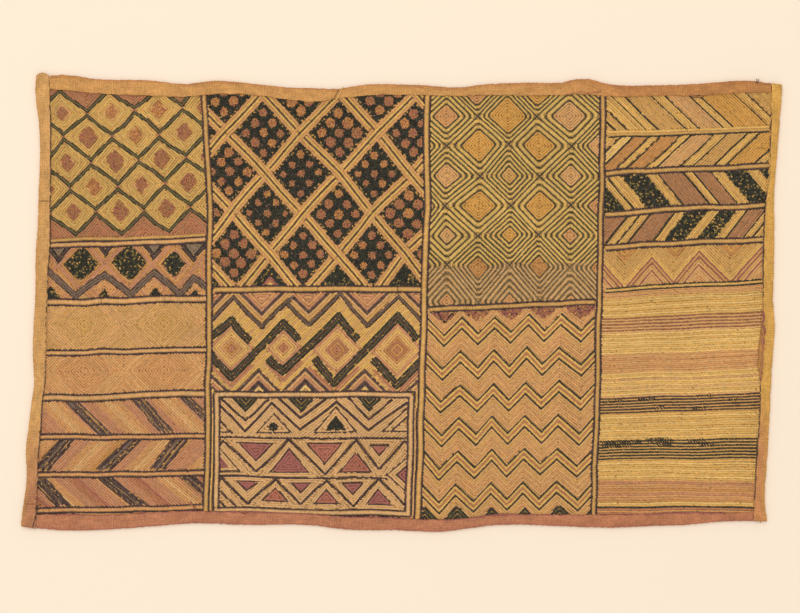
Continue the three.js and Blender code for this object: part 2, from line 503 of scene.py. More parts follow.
# What bounds each column
COLUMN_ONE = dict(right=DIVIDER_ONE)
COLUMN_TWO = dict(left=DIVIDER_ONE, right=DIVIDER_TWO)
COLUMN_THREE = dict(left=DIVIDER_TWO, right=DIVIDER_THREE)
COLUMN_FOUR = dict(left=DIVIDER_THREE)


def double_rows(gap, thread="dull"):
    """Two thin dark rows with a golden one between them, which fills the gap."""
    return [("dusk", 3.3), (thread, gap), ("dusk", 3.3)]


def double_line(work, start, end, gap=DOUBLE_GAP, thread="dull", **between):
    """A double row from point to point, not quite straight."""
    work.within(**between)
    steps = np.linspace(0, 1, 9)[:, None]
    points = (1 - steps) * np.array(start, float) + steps * np.array(end, float)
    points[1:-1, 1] += DICE.normal(0, 0.4, len(points) - 2)
    work.line(points, double_rows(gap, thread))


def divider_line(work, divider, gap):
    work.within()
    y = np.linspace(*DIVIDER_SPAN, DIVIDER_POINTS)
    work.line(np.column_stack([divider(y) + DICE.normal(0, 0.2, len(y)), y]), double_rows(gap))


def wavered(points, sway):
    """A line with a slightly misplaced point in the middle of each leg."""
    points = np.asarray(points, float)
    halfway = 0.5 * (points[1:] + points[:-1]) + DICE.normal(0, sway, (len(points) - 1, 2))
    return np.vstack([np.stack([points[:-1], halfway], 1).reshape(-1, 2), points[-1:]])


def slanted_bar(work, top, bottom, wide, threads, ragged=0.3):
    """Rows side by side in a slanted bar. Top and bottom are its left corners.

    Wide is measured level. A thread may come with how wide its row is beside the others.
    """
    top, bottom = np.array(top, float), np.array(bottom, float)
    work.take_shape([top, top + (wide, 0), bottom + (wide, 0), bottom])
    heading = (bottom - top) / np.hypot(*(bottom - top))
    rows = work.with_pitch(threads, 1.0)
    shares = np.array([share for _, share in rows])
    shares = shares / shares.sum()
    for (thread, _), share, far_edge in zip(rows, shares, np.cumsum(shares)):
        over = np.array([wide * (far_edge - 0.5 * share), 0.0])
        start = top + over + heading * DICE.normal(0, ragged)
        end = bottom + over + heading * DICE.normal(0, ragged)
        middle = 0.5 * (start + end) + DICE.normal(0, 0.3 * ragged, 2)
        pitch = wide * share * abs(heading[1]) / row_width(thread, 1.0)
        work.line([start, middle, end], [thread], pitch, lift=0.0)


def flecks(work, points, reach, spacing, thread):
    """Short light stitches here and there along a dark line of straight legs."""
    points = np.asarray(points, float)
    for start, end in zip(points[:-1], points[1:]):
        length = np.hypot(*(end - start))
        ahead = (end - start) / length
        sideways = np.array([-ahead[1], ahead[0]])
        for run in np.arange(0.5 * spacing, length, spacing):
            place = start + (run + DICE.normal(0, 0.3 * spacing)) * ahead
            place = place + DICE.uniform(-reach, reach) * sideways
            work.line([place - FLECK_REACH * ahead, place + FLECK_REACH * ahead], [thread], FLECK_WIDTH)


def slanted_stitches(work, start, end, tall):
    """Short black stitches that slant across dark rows and the light ones between them."""
    count = round((end[0] - start[0]) / SLANTED_GAP)
    for place in np.linspace(start, end, count + 1):
        reach = SLANTED_REACH * tall * DICE.uniform(0.9, 1.1) * np.ones(2)
        work.line([place - reach, place + reach], ["black"], SLANTED_PITCH)


def zigzag_slant(tips):
    """How much deeper a row along a zigzag is when measured straight down than across it."""
    legs = np.diff(np.array(tips, float), axis=0)
    return np.mean(np.hypot(legs[:, 0], legs[:, 1]) / np.abs(legs[:, 0]))


def chevron_rows(work, tips, rows, drop=0.0):
    """Rows below one another along a zigzag, each a thread and its pitch. The first starts at drop."""
    tips = np.array(tips, float)
    slant = zigzag_slant(tips)
    for thread, pitch in rows:
        deep = row_width(thread, pitch) * slant
        work.line(tips + (0, drop + 0.5 * deep), [thread], pitch, lift=0.0)
        drop += deep


# First column

# Cross lines of the first column: left and right ends, width of the golden row and its thread
COLUMN_ONE_LINES = [
    ((44, 245.5), (205, 240), 3.6, "tan"),
    ((43, 302.7), (206, 298.7), 4.6, "tan"),
    ((42, 353.7), (206, 349.7), 3.3, "tan"),
    ((40, 398.7), (205, 393.7), 4.6, "tan"),
    ((38, 437.4), (204, 436.4), 3.2, "orange"),
    ((37, 475), (203, 473.5), 3.2, "orange"),
    ((34, 511), (203, 507.5), 3.6, "orange"),
]


def spotted_lattice(work):
    """Golden diamonds with a rust spot in each, between black zigzags that almost touch."""
    pitch, rise, lean, gap = 47.25, 24.8, 2.25, 2.6
    uneven = DICE.normal(0, 0.8, (9, 9, 2))

    def node(row, step):
        """A crossing of the zigzags. The rows lean and rise a little to the right."""
        x = 87 + lean * row + pitch * (step - 0.5 * (row % 2))
        return np.array([x, 110.5 + rise * row - 0.045 * (x - 134)]) + uneven[row, step]

    for row in range(-1, 6):
        for step in range(-2, 4):
            beyond = step + 1 - row % 2
            corners = [node(row - 1, beyond), node(row, step + 1), node(row + 1, beyond), node(row, step)]
            if row in (-1, 5):
                work.rings(corners, ["rust", "rust", "brown", "rust"])
                continue
            work.rings(corners, ["dull", "straw", "dull", "straw", "dull", "tan"])
            size = DICE.uniform(0.72, 1.05)
            pile = DICE.choice(["rust_pile", "rust_pile", "tan_pile"])
            work.pile(spot(np.mean(corners, 0), 8.6 * size, 10.5 * size, power=1.2, rough=0.13), pile)
    for row in range(0, 5):
        for step in range(-1, 4):
            work.rings(diamond(node(row, step), 3.4, 3.0), ["rust"])
    for row in range(-1, 5):
        tips = [node(row, step) + (0, gap) for step in range(-2, 5)]
        tips += [node(row + 1, step) - (0, gap) for step in range(-2, 5)]
        tips.sort(key=lambda tip: tip[0])
        work.line(wavered(tips, 1.0), [("soot", 2.8), ("olive", 0.65), ("soot", 2.8)])
    work.line([(44, 241), (205, 235.5)], ["dull"], 2.8)


def pile_diamond_row(work):
    """Black pile diamonds over a thick grey zigzag, on a pinkish ground sewn in diamonds."""
    for step in range(-1, 5):
        x = 57.5 + 47.3 * step
        for middle in ((x, 240), (x, 289), (x + 23.6, 264.5)):
            work.rings(diamond(middle, 23.7, 24.5), ["pink", "copper", "orange", "pink", "orange"])
    zigzag = [
        (46, 269), (75.5, 295), (105, 275), (130, 294), (154, 272.5), (180, 294), (194.5, 278), (216, 294),
    ]
    thick = [("grey", 3.0), ("ash", 1.0), ("grey", 2.2), ("ash", 1.0), ("grey", 3.0)]
    work.line(wavered(zigzag, 0.5), thick)
    hanging = ["black", "grey", "dusk", "black", "ash"]
    for x, half in ((58, 13), (105, 9), (154, 11), (194, 13)):
        work.rings(triangle((x, 246 + 1.35 * half), 240, 1.4 * half), hanging)
    for x, y, half_wide, half_high in ((81, 264, 17, 16), (129.5, 262, 17, 18), (174, 264, 11.5, 13)):
        work.pile(spot((x, y), half_wide, half_high, power=1.15), "black_pile")
    for x, half in ((51, 10), (104, 8), (155, 9), (195, 7.5)):
        work.pile(triangle((x, 299 - 1.3 * half), 303, 1.3 * half), "black_pile")


def plain_diamonds(work, middle_y, threads):
    """Plain panel whose rows run round large diamonds, a little different at their middles."""
    half = 40.0
    for row in (-1, 0, 1):
        for step in range(-1, 4):
            middle = (84 + half * (2 * step + row % 2), middle_y + half * row)
            work.rings(diamond(middle, half, half), threads)


# Dark slanted bars of the first column: upper left corner, lower left corner and width, for each panel
BARS = [
    [((63.5, 399.5), (96.5, 434), 15), ((131.5, 398.5), (159, 432), 14.5), ((178, 397), (211, 430), 13)],
    [((59.5, 438), (32.5, 470), 16.5), ((128, 438), (94.5, 470), 16.5), ((174, 437), (149.5, 469), 16.5)],
    [((25, 472), (55, 506), 15.5), ((92, 475), (130, 504), 17.5), ((175, 474), (213, 504), 15.5)],
]
BAR_ROWS = [
    ["grey", "grey", ("ash", 0.8), "grey", "grey", "grey", ("dull", 0.5), "grey", "grey"],
    ["grey", "dusk", "grey", ("ash", 0.6), "grey", "dusk", ("dull", 0.4), "grey", "dusk"],
    ["dusk", "grey", "dusk", "grey", ("ash", 0.6), "dusk", "grey", "dusk", "grey"],
]
BAR_GROUNDS = [
    ["pink"] * 4 + ["orange"] * 3 + ["tan"] * 2 + ["pale"] + ["orange"] * 3 + ["pink"] * 6 + ["rust"],
    ["copper"] * 4 + ["orange"] * 3 + ["tan"] * 2 + ["pale"] + ["orange"] * 3 + ["pink"] * 8,
    ["rust"] * 3 + ["pink"] * 4 + ["orange"] * 3 + ["pale"] + ["orange"] * 2 + ["pink"] * 5 + ["brick"],
]

# A stray thread over the last cross line
RED_THREAD = [(190.5, 501.5), (192.5, 505), (196, 509.5)]


def column_one(work):
    lines = [cross_line(left, right) for left, right, _, _ in COLUMN_ONE_LINES]
    work.within(**COLUMN_ONE, lower=lines[0])
    spotted_lattice(work)
    work.within(**COLUMN_ONE, upper=lines[0], lower=lines[1])
    pile_diamond_row(work)
    work.within(**COLUMN_ONE, upper=lines[1], lower=lines[2])
    plain_diamonds(work, 324, ["tan"] * 3 + ["dull", "tan"] * 3 + ["dull"])
    work.within(**COLUMN_ONE, upper=lines[2], lower=lines[3])
    plain_diamonds(work, 371, ["tan", "orange", "tan", "orange"])
    for index, heading in enumerate(((1, 1), (-1, 1), (1.2, 1))):
        work.within(**COLUMN_ONE, upper=lines[3 + index], lower=lines[4 + index])
        upper = COLUMN_ONE_LINES[3 + index][0][1]
        work.fill(box(15, upper - 12, 215, upper + 46), heading, BAR_GROUNDS[index], (69, upper))
        for top, bottom, wide in BARS[index]:
            slanted_bar(work, top, bottom, wide, BAR_ROWS[index], ragged=1.2)
            middle = np.array([top, bottom], float) + (0.5 * wide, 0)
            flecks(work, middle, 0.3 * wide, 5.5, "dull")
    work.within(**COLUMN_ONE, upper=lines[6])
    work.fill(box(10, 500, 220, 535), (1, 0), ["rust", "orange"], (30, 512))
    for left, right, gap, thread in COLUMN_ONE_LINES:
        double_line(work, left, right, gap, thread, right=lambda y: DIVIDER_ONE(y) - 2)
    work.line(RED_THREAD, ["brick"], 1.1)


# Second column

# How much of a lattice cell the pile covers from side to side, between the bands
PILE_SHARE = 0.778


def pile_lattice(work):
    """Black pile diamonds with rust spots, in a lattice of tan bands that pass over and under."""
    falling, rising = np.array([36.4, 40.4]), np.array([36.4, -40.4])
    band, pitch = ["orange", "gold", "dusk", "gold", "orange"], 2.65
    trim = 0.5 * (4 + FINE_SHARE) * pitch
    uneven = DICE.normal(0, 1.0, (16, 16, 2))

    def node(fall, rise):
        """A crossing of the bands. The lattice narrows a little downwards."""
        x, y = np.array([265.5, 132.5]) + (fall + 0.5) * falling + (rise + 0.5) * rising
        narrowed = 318 + (x - 318) * (1.03 - 0.0007 * (y - 133))
        return np.array([narrowed, y]) + uneven[fall, rise]

    for fall in range(-3, 8):
        for rise in range(-8, 4):
            corners = np.array([
                node(fall - 1, rise), node(fall, rise), node(fall, rise - 1), node(fall - 1, rise - 1),
            ])
            middle = corners.mean(0)
            if not 180 < middle[0] < 460 or not 60 < middle[1] < 320:
                continue
            if middle[1] > 275:
                work.pile(middle + PILE_SHARE * (corners - middle), "black_pile")
                continue
            work.pile(middle + PILE_SHARE * (corners - middle), "edge_pile")
            work.pile(middle + 0.91 * PILE_SHARE * (corners - middle), "dark_pile")
            common_size = DICE.uniform(0.74, 1.12)
            for step in (-1, 0, 1):
                for turn in (-1, 0, 1):
                    place = middle + 0.24 * (step * falling + turn * rising) + DICE.normal(0, 0.45, 2)
                    size = common_size * DICE.uniform(0.9, 1.1)
                    pile = DICE.choice(["rust_pile", "rust_pile", "tan_pile"])
                    work.pile(spot(place, 4.6 * size, 4.8 * size, power=2.0), pile)
    work.rings(triangle((270, 275.5), 297, 19), ["mauve", "rust", "gold", "orange"])
    for rise in range(-8, 4):
        work.line([node(fall, rise) for fall in range(-3, 8)], band, pitch)
    for fall in range(-3, 8):
        for rise in range(-8, 2):
            if (fall + rise) % 2 == 0:
                continue
            legs = [node(fall, rise + step) for step in range(3)]
            # The band passes over the middle crossing and under those at its ends
            away, back = legs[1] - legs[0], legs[1] - legs[2]
            legs[0] = legs[0] + trim * away / np.hypot(*away)
            legs[2] = legs[2] + trim * back / np.hypot(*back)
            work.line(legs, band, pitch)


# The second panel's black ribbons, and the diamonds that they hold: middle, half size and rows from the
# rim in
RIBBONS = [
    [(196, 350), (231.5, 320), (250, 340)],
    [(208, 352), (231, 377), (283.5, 324), (298.5, 340.5)],
    [(268.5, 358), (284, 371), (338.5, 317), (357, 340)],
    [(315, 359), (334.5, 383), (397.5, 317), (417, 340)],
    [(372.5, 359), (397, 385), (436, 346)],
]
RIBBON_DIAMONDS = [
    ((231, 348), 24, ["pink", "tan", "gold", "tan", "orange", "copper", "rust"]),
    ((283.5, 348), 18, ["pink", "tan", "gold", "orange", "rust"]),
    ((337, 350), 25, ["pink", "tan", "gold", "tan", "rust", "copper", "rust"]),
    ((397, 350.5), 27, ["pink", "tan", "gold", "tan", "copper", "rust", "copper", "rust"]),
]
RIBBON_ROWS = [("black", 4.1), ("olive", 0.5), ("dusk", 4.2), ("olive", 0.5), ("black", 4.1)]
PANEL_PEAKS = [
    [(205, 328), (233, 297), (262, 327), (294, 296.5)],
    [(287.5, 304.5), (308.5, 325.5), (340, 294), (367, 326), (399, 296.5), (430, 332)],
]


def ribbon_panel(work):
    """An interlocking black ribbon round rust diamonds, with dark zigzags above and triangles below."""
    work.fill(box(200, 285, 440, 400), (1, -1), ["gold", "gold", "gold", "tan"], (214, 348))
    hanging = ["tan", "dull", "tan", "grey", "grey", "pink", "orange", "pink", "orange", "copper"]
    for tip in ((308.5, 325.5), (262, 327), (367, 326), (205, 326), (430, 329)):
        work.rings(triangle(tip, tip[1] - 48, 49), hanging, 2.6)
    for peaks in PANEL_PEAKS:
        work.line(wavered(peaks, 0.4), ["grey", ("ash", 0.8), "dusk"], 2.7)
    for x, y, half in ((205, 362, 20), (231, 386, 22), (284, 380, 18), (334, 392, 24), (397, 394, 24)):
        edges = [(x - half, y - half), (x, y), (x + half, y - half)]
        work.line(edges, ["rust", "pink"], 2.2, lift=0.0)
    for middle, half, rows in RIBBON_DIAMONDS:
        work.rings(diamond(middle, half, half), rows, 2.3)
    standing = ["grey", "grey", "tan", "pink", "grey", "dusk", "grey", "light"]
    for x, y in ((213, 375), (259, 368), (306, 367), (364.5, 369), (424, 373)):
        work.rings(triangle((x, y), y + 48, 48), standing, 2.6)
    for ribbon in RIBBONS:
        work.line(wavered(ribbon, 0.5), RIBBON_ROWS)
        flecks(work, ribbon, 2.8, 7.5, "dull")


def mauve_triangles(work, shapes):
    """Outlined mauve or brick triangles: tip, level of the base, half its length and thread."""
    for tip, base_y, half, thread in shapes:
        work.rings(triangle(tip, base_y, half), ["dusk", thread], 2.4)


def zigzag_cells(work, tips, upper, lower):
    """Golden rows round the cells above and below a zigzag, and the dark zigzag itself."""
    work.fill(box(200, upper - 2, 440, lower + 2), (1, 0.01), ["pale"], (214, upper))
    for before, tip, after in zip(tips[:-2], tips[1:-1], tips[2:]):
        base = upper if tip[1] > 0.5 * (upper + lower) else lower
        work.rings([tip, (after[0], base), (before[0], base)], ["pale"], inset=0.9)
    work.line(wavered(tips, 0.4), ["dusk"], 3.5)


# The framed panel: the zigzags of its three rows, and the triangles hanging and standing in the lower two
CHEVRONS = [
    (196, 432), (219, 405), (244.5, 431), (272, 402.5), (300.5, 429), (336, 402), (369, 431), (407, 403),
    (436, 431),
]
HANGING_CHEVRONS = [
    [(221, 399), (244.5, 420.5), (269, 399)],
    [(279, 398), (301, 418), (325, 399)],
    [(347, 398), (369, 421), (392, 400)],
]
SECOND_ROW = [
    (196, 473), (223, 441), (256, 472), (289, 439), (325, 474), (356.5, 440), (380, 469.5), (404, 441),
    (436, 472),
]
SECOND_TRIANGLES = [
    ((255.5, 462), 442, 18.5, "mauve"), ((289, 447), 472.5, 21, "mauve"),
    ((324, 464.5), 442, 19, "brick"), ((356, 451.5), 473, 18.5, "brick"),
    ((380, 456.5), 445, 10.5, "brick"),
]
THIRD_ROW = [
    (196, 508), (222, 479), (248.5, 505), (275, 479), (300.5, 504), (327, 480), (353, 507), (380, 479),
    (408, 508), (436, 480),
]
THIRD_TRIANGLES = [
    ((248, 493), 481.5, 13, "mauve"), ((275, 486.5), 502, 14, "brick"),
    ((301, 493), 481.5, 12, "mauve"), ((327, 488.5), 504, 14, "brick"),
    ((353, 496), 482.5, 12.5, "mauve"), ((379.5, 488.5), 506, 15, "mauve"),
]

# Black rows with thin golden ones between them, for small nested triangles
NESTED_BLACK = [("black", 4.6), ("olive", 0.5), ("black", 4.6), ("dull", 0.45)] * 3


def chevron_row(work):
    """Nested chevrons with black pile triangles that hang from the frame and stand in outlined ones."""
    chevron_rows(work, CHEVRONS, [("pale", 2.1)] * 24, drop=-30)
    for chevron in [CHEVRONS] + HANGING_CHEVRONS:
        work.line(wavered(chevron, 0.4), ["dusk"], 3.5)
    for x in (245, 301.5, 369):
        work.rings(triangle((x, 413), 386, 24), NESTED_BLACK)
    for tip, half in (((212, 412), 20), ((274, 412.5), 20), ((335, 406), 23), ((412, 403), 31)):
        work.rings(triangle(tip, 433, half), ["dusk", "pale"], 2.6)
    work.pile(spot((273.5, 426.5), 6, 4.5, power=1.2), "dark_pile")
    work.pile(triangle((335, 415.5), 430, 10.5), "dark_pile")
    work.line([(391, 433), (412, 413)], ["dusk"], 3.0)


def framed_triangles(work):
    """Three rows of triangles inside a double frame."""
    chevron_row(work)
    work.within(**COLUMN_TWO, upper=cross_line((214, 437), (411, 439)))
    zigzag_cells(work, SECOND_ROW, 437, 479)
    mauve_triangles(work, SECOND_TRIANGLES)
    work.rings(triangle((211, 438), 473, 31), ["dusk", "pale"], 2.6)
    work.rings(triangle((219.5, 456), 468, 10), ["mauve"])
    work.within(**COLUMN_TWO, upper=cross_line((214, 477), (411, 478.5)))
    zigzag_cells(work, THIRD_ROW, 477, 513)
    mauve_triangles(work, THIRD_TRIANGLES)
    for drop in (8, 19):
        work.line([(212, 475 + drop), (246 - drop, 509)], ["dusk"], 3.0)
    work.within(**COLUMN_TWO)
    work.line([(216, 437), (408, 439)], ["dusk"], 3.4)
    work.line([(216, 477), (388, 478.3)], ["dusk"], 3.4)
    work.rings(diamond((410, 474.5), 23, 21), ["dusk", "pale", "pale", "dusk", "mauve"], 2.4)
    for left in (200, 409):
        work.fill(box(left, 390, left + 17, 530), (0.02, -1), ["gold", "tan"], (left, 400))
    work.fill([(200, 513), (440, 515), (440, 535), (200, 535)], (1, 0.02), ["rust", "orange"], (214, 516))
    frame_corners = [(216.3, 516), (216.3, 394.5), (411.8, 395), (408.2, 514), (214, 511)]
    work.line(frame_corners, double_rows(3.8, "pale"))


def column_two(work):
    first_line = cross_line((214, 290), (425, 289))
    second_line = cross_line((214, 392), (425, 391))
    work.within(**COLUMN_TWO, lower=first_line)
    pile_lattice(work)
    work.within(**COLUMN_TWO, upper=first_line, lower=second_line)
    ribbon_panel(work)
    work.within(**COLUMN_TWO, upper=second_line)
    framed_triangles(work)
    double_line(work, (214, 290), (425, 289), 4.2, **COLUMN_TWO)


# Third column

# Plain middles of the nested diamonds, row by row from the top: half size and thread
NESTED_MIDDLES = [
    [(20, "orange"), (20, "amber"), (14, "tan")],
    [(12, "orange"), (20, "amber"), (16, "tan")],
    [(17, "amber"), (16, "amber"), (15, "tan")],
    [(13, "tan"), (9, "dull"), (12, "tan")],
    [(16, "amber"), (16, "amber"), (14, "orange")],
    [(10, "tan"), (9, "amber"), (7, "orange")],
    [(9.5, "copper"), (9.5, "copper"), (9.5, "copper")],
    [(5, "orange"), (5, "orange"), (5, "orange")],
]

# The nested diamonds are faded below this line
FADED = cross_line((430, 266), (598, 262))


def nested_diamonds(work, **bounds):
    """Black and gold diamonds inside one another, with golden middles that grow smaller downwards."""
    half_wide, half_high, ring_step, dark_wide = 30.8, 29.8, 5.8, 1.3
    uneven = DICE.normal(0, 1.1, (20, 20, 2))
    # The last rows are drawn out downwards
    uneven[6, :, 1] += 7
    uneven[7, :, 1] += 15

    def node(row, step):
        plain = np.array([447.5 + half_wide * step, 116 + half_high * row])
        return plain + uneven[row, step]

    for light, dark, upper, first in (("straw", "soot", None, -1), ("buff", "umber", FADED, 4)):
        work.within(**bounds, upper=upper)
        for row in range(first, 7):
            for step in range(-1, 4):
                column = 2 * step + row % 2
                core, thread = NESTED_MIDDLES[row + 1][step % 3]
                count = round((half_high - core) / ring_step)
                light_wide = (half_high - core) / (count * math.sqrt(2)) - dark_wide
                rings = [(light, light_wide), (dark, dark_wide / FINE_SHARE)] * count + [thread]
                corners = [
                    node(row - 1, column), node(row, column + 1),
                    node(row + 1, column), node(row, column - 1),
                ]
                work.rings(corners, rings, inset=0.4, blunt=0.08)
        for row in range(first - 1, 8):
            for step in range(-3, 8):
                if (row + step) % 2 == 0:
                    continue
                for turn in (-1, 1):
                    leg = wavered([node(row, step), node(row + 1, step + turn)], 0.4)
                    work.line(leg, [dark], 2.4, lift=0.05)


# Corners of the zigzags of the third column, high and low by turns
ZIGZAG = [
    (427, 0), (443.5, 17.5), (461, 0), (478.5, 17.5), (495, 0), (511, 17), (528, 0), (544, 16.5), (561, 0),
    (582, 18), (600, 0),
]


def zigzag_panel(work):
    """Pairs of black zigzags with a rust one between them, on golden rows that zigzag with them."""
    pitch, slope = 33.5, -0.03
    pair = [("black", 2.9), ("gold", 2.3), ("rust", 1.5), ("gold", 2.3), ("black", 2.9)]
    ground = [(thread, 2.0) for thread in ("tan", "dull", "tan", "orange", "tan", "orange", "tan")]
    tips = np.array([(x, y + slope * (x - 427)) for x, y in ZIGZAG])
    for row in range(-1, 7):
        uneven = np.column_stack([DICE.normal(0, 0.5, len(tips)), DICE.normal(0, 0.4, len(tips))])
        chevron_rows(work, tips + uneven + (-row, 317 + pitch * row), pair + ground)
    for index, x in enumerate((445, 478, 511, 544, 581)):
        level = 306.5 + slope * (x - 430)
        work.pile(spot((x - 1, level), 15 if index < 4 else 18, 15.5, power=1.4), "maroon_pile")
        if index == 0:
            work.line([(x - 13, level), (x, level + 16), (x + 13, level)], ["black"], 3.0)
    for x, reach in ((424, 10), (457, 10.5), (491, 8), (525, 9), (559, 11.5), (592, 9)):
        tall = 1.2 * reach
        work.rings(triangle((x, 517 - tall), 534, 0.9 * (17 + tall)), NESTED_BLACK, blunt=0.04)


def column_three(work):
    line = cross_line((430, 309.3), (598, 301.8))
    nested_diamonds(work, **COLUMN_THREE, lower=line)
    work.within(**COLUMN_THREE, upper=line)
    zigzag_panel(work)
    double_line(work, (430, 309.3), (600, 301.8), **COLUMN_THREE)


# Fourth column

# Cross lines of the fourth column, left and right ends
COLUMN_FOUR_LINES = [
    ((608, 136.5), (770, 130)),
    ((606, 173.5), (770, 165)),
    ((606, 213.7), (766, 204.7)),
    ((606, 247), (764, 239.2)),
    ((606, 289.7), (764, 281.7)),
]

# Herringbone rows of the fourth column. Each row: its slant to the right over its height, its height,
# its bars as kind, upper left corner and width, and its thin black lines by their upper ends.
HERRINGBONE = [
    dict(
        slide=36, tall=34, ground="dull",
        bars=[
            ("gold", (593, 98.5), 13), ("gold", (612, 97), 14), ("dull", (626, 97), 26),
            ("gold", (652, 96), 13), ("tan", (665, 96), 25), ("gold", (690, 95), 9),
            ("amber", (699, 94), 38), ("gold", (737, 93), 8),
        ],
        lines=[
            (593, 98.5), (583, 101), (625, 96), (652, 96), (666, 96), (690, 95), (699, 94.5), (745, 93),
        ],
        faint_lines=[(611, 96), (737, 97)],
    ),
    dict(
        slide=-35, tall=33, ground="gold",
        bars=[
            ("light", (619, 138), 13), ("copper", (632, 138), 17), ("gold", (649, 137), 12),
            ("copper", (661, 136), 20), ("gold", (681, 135), 13), ("tan", (694, 134), 21),
            ("gold", (715, 133), 13), ("dull", (728, 133), 22), ("gold", (750, 132), 12),
            ("amber", (762, 131), 28), ("gold", (790, 130), 12),
        ],
        lines=[
            (620, 138), (632, 138), (649, 137), (661, 136), (681, 135), (694, 134), (715, 133), (728, 133),
            (750, 132), (762, 131), (790, 129), (802, 128),
        ],
    ),
    dict(
        slide=29, tall=34, ground="gold",
        bars=[
            ("black_pile", (576, 177), 21), ("black_pile", (619, 175.5), 27),
            ("brown", (657.5, 173.5), 24.5), ("brown", (693.5, 172), 18),
            ("black_pile", (722.5, 170), 23), ("black_pile", (757, 167.5), 24),
        ],
        lines=[(606.5, 176), (657, 173.5), (682.5, 173), (693, 172), (711.5, 171.5)],
    ),
    dict(
        slide=-22.5, tall=28, ground="gold",
        bars=[
            ("brown", (600, 217), 28), ("brown", (652.5, 213.5), 23.5),
            ("black_pile", (688.5, 211), 19.5), ("black_pile", (721, 209), 16.5),
            ("brown", (750.5, 207.5), 17),
        ],
        lines=[
            (628, 216), (639.5, 215), (652, 213.5), (676.5, 212.5), (750, 207.5), (767.5, 207), (777, 207),
        ],
    ),
]


def herringbone_row(work, slide, tall, ground, bars, lines, faint_lines=()):
    """Slanted bars of stitches or pile on a golden ground, parted by thin black lines."""
    run = np.array([slide, tall], float)
    ahead = 0.25 * run
    first = np.array(bars[0][1], float)
    work.fill(box(590, first[1] - 20, 790, first[1] + tall + 12), run, ["gold", "dull", ground], first)
    for kind, corner, wide in bars:
        top = np.array(corner) - ahead
        bottom = np.array(corner) + run + ahead
        if kind in PILES:
            work.pile([top, top + (wide, 0), bottom + (wide, 0), bottom], kind)
        else:
            rows = max(2, round(wide * abs(run[1]) / np.hypot(*run) / ROW_PITCH))
            slanted_bar(work, top, bottom, wide, [kind] * rows)
    for corner in (*lines, *faint_lines):
        start, end = np.array(corner) - ahead, np.array(corner) + run + ahead
        bend = 0.5 * (start + end) + DICE.normal(0, 0.7, 2)
        work.line([start, bend, end], ["black"], 1.6 if corner in faint_lines else 2.5)


# Corners of the chevrons in the fourth column's fifth panel, high and low by turns
PEAKS = [(590, 247), (626, 287), (652, 257), (673, 282), (699, 251), (730, 281), (775, 234)]


def line_peaks(work):
    """Golden chevrons with fine mauve lines in them and amber triangles above."""
    above = [("orange", 2.1), ("tan", 2.1)] * 4 + [("dull", 2.1)] * 6 + [("gold", 2.1)] * 2
    below = [("mauve", 1.4), ("dull", 1.9), ("mauve", 1.4), ("dull", 2.1), ("tan", 2.1), ("mauve", 1.2)]
    below += [("tan", 2.1)] * 3 + [("orange", 2.1)] * 7
    rise = zigzag_slant(PEAKS) * sum(pitch for _, pitch in above)
    chevron_rows(work, PEAKS, above + below, drop=-rise)
    for x, y in ((625, 263), (675, 260), (731, 259)):
        work.rings(triangle((x, y), y - 22, 18), ["copper", "copper", "amber", "copper"])


# Stripes of the fourth column from the top down: how tall, the rows in order, each a thread and its
# width, and how often the rows come
STRIPES = [
    (6, [("orange", 1), ("tan", 1)], 2),
    (20, [("gold", 1), ("light", 1), ("gold", 1)], 3),
    (15.5, [("brown", 0.3), ("mauve", 0.3), ("tan", 1.1)], 5),
    (21.5, [("light", 1), ("gold", 1), ("light", 1), ("gold", 1), ("light", 1)], 2),
    (19, [("orange", 1), ("tan", 1), ("orange", 1)], 3),
    (25, [("light", 1), ("gold", 1), ("light", 1), ("tan", 1)], 3),
    (16.5, [("dusk", 1.35), ("dull", 1.2)], 6),
    (26, [("gold", 1), ("light", 1), ("gold", 1)], 4),
    (20, [("black", 1.3), ("dull", 1.25)], 7),
    (18.5, [("gold", 1), ("light", 1), ("gold", 1)], 3),
    (22, [("orange", 1), ("pink", 1), ("orange", 1), ("orange", 1), ("copper", 1)], 2),
    (6, [("light", 1), ("gold", 1), ("black", 0.8)], 1),
    (20, [("rust", 1), ("orange", 1), ("rust", 1)], 3),
]
# How much the stripes fall to the right, at places down the left side
STRIPE_PLACES = (290, 330, 399, 442, 461, 480, 506)
STRIPE_FALLS = (-0.05, -0.037, -0.044, -0.026, -0.013, 0.01, 0.006)
# Runs of slanted stitches in the dark stripes: left end, right end and how tall
SLANTED_RUNS = [
    ((604, 402.5), (624, 401.5), 3.5), ((640, 400.5), (655, 399.5), 4.0), ((655, 409), (664, 408), 4.0),
    ((697, 395.5), (713, 395), 3.0), ((693, 408), (704, 407.5), 3.0), ((730, 399.5), (742, 399), 3.0),
    ((602, 443), (640, 442), 4.5), ((603, 447), (631, 446.5), 3.5), ((647, 441), (672, 440.5), 5.0),
    ((658, 445), (670, 444.5), 3.5), ((688, 440), (704, 440), 4.5), ((703, 445), (722, 445), 3.5),
    ((727, 439), (736, 439), 3.5),
]


def striped_panel(work):
    """Level stripes, the upper ones rising to the right."""
    upper, left = 292.0, 607.0
    for tall, rows, count in STRIPES:
        scale = tall / (count * sum(width for _, width in rows))
        for thread, width in rows * count:
            width *= scale
            y = upper + 0.5 * width
            fall = np.interp(y, STRIPE_PLACES, STRIPE_FALLS)
            inner = np.array([635, 690, 745]) + DICE.uniform(-22, 22, 3)
            ends = [(x, y + fall * (x - left) + DICE.normal(0, 0.15)) for x in (585, *inner, 790)]
            work.line(ends, [thread], width / row_width(thread, 1.0), lift=0.0)
            upper += width
    for run in SLANTED_RUNS:
        slanted_stitches(work, *run)


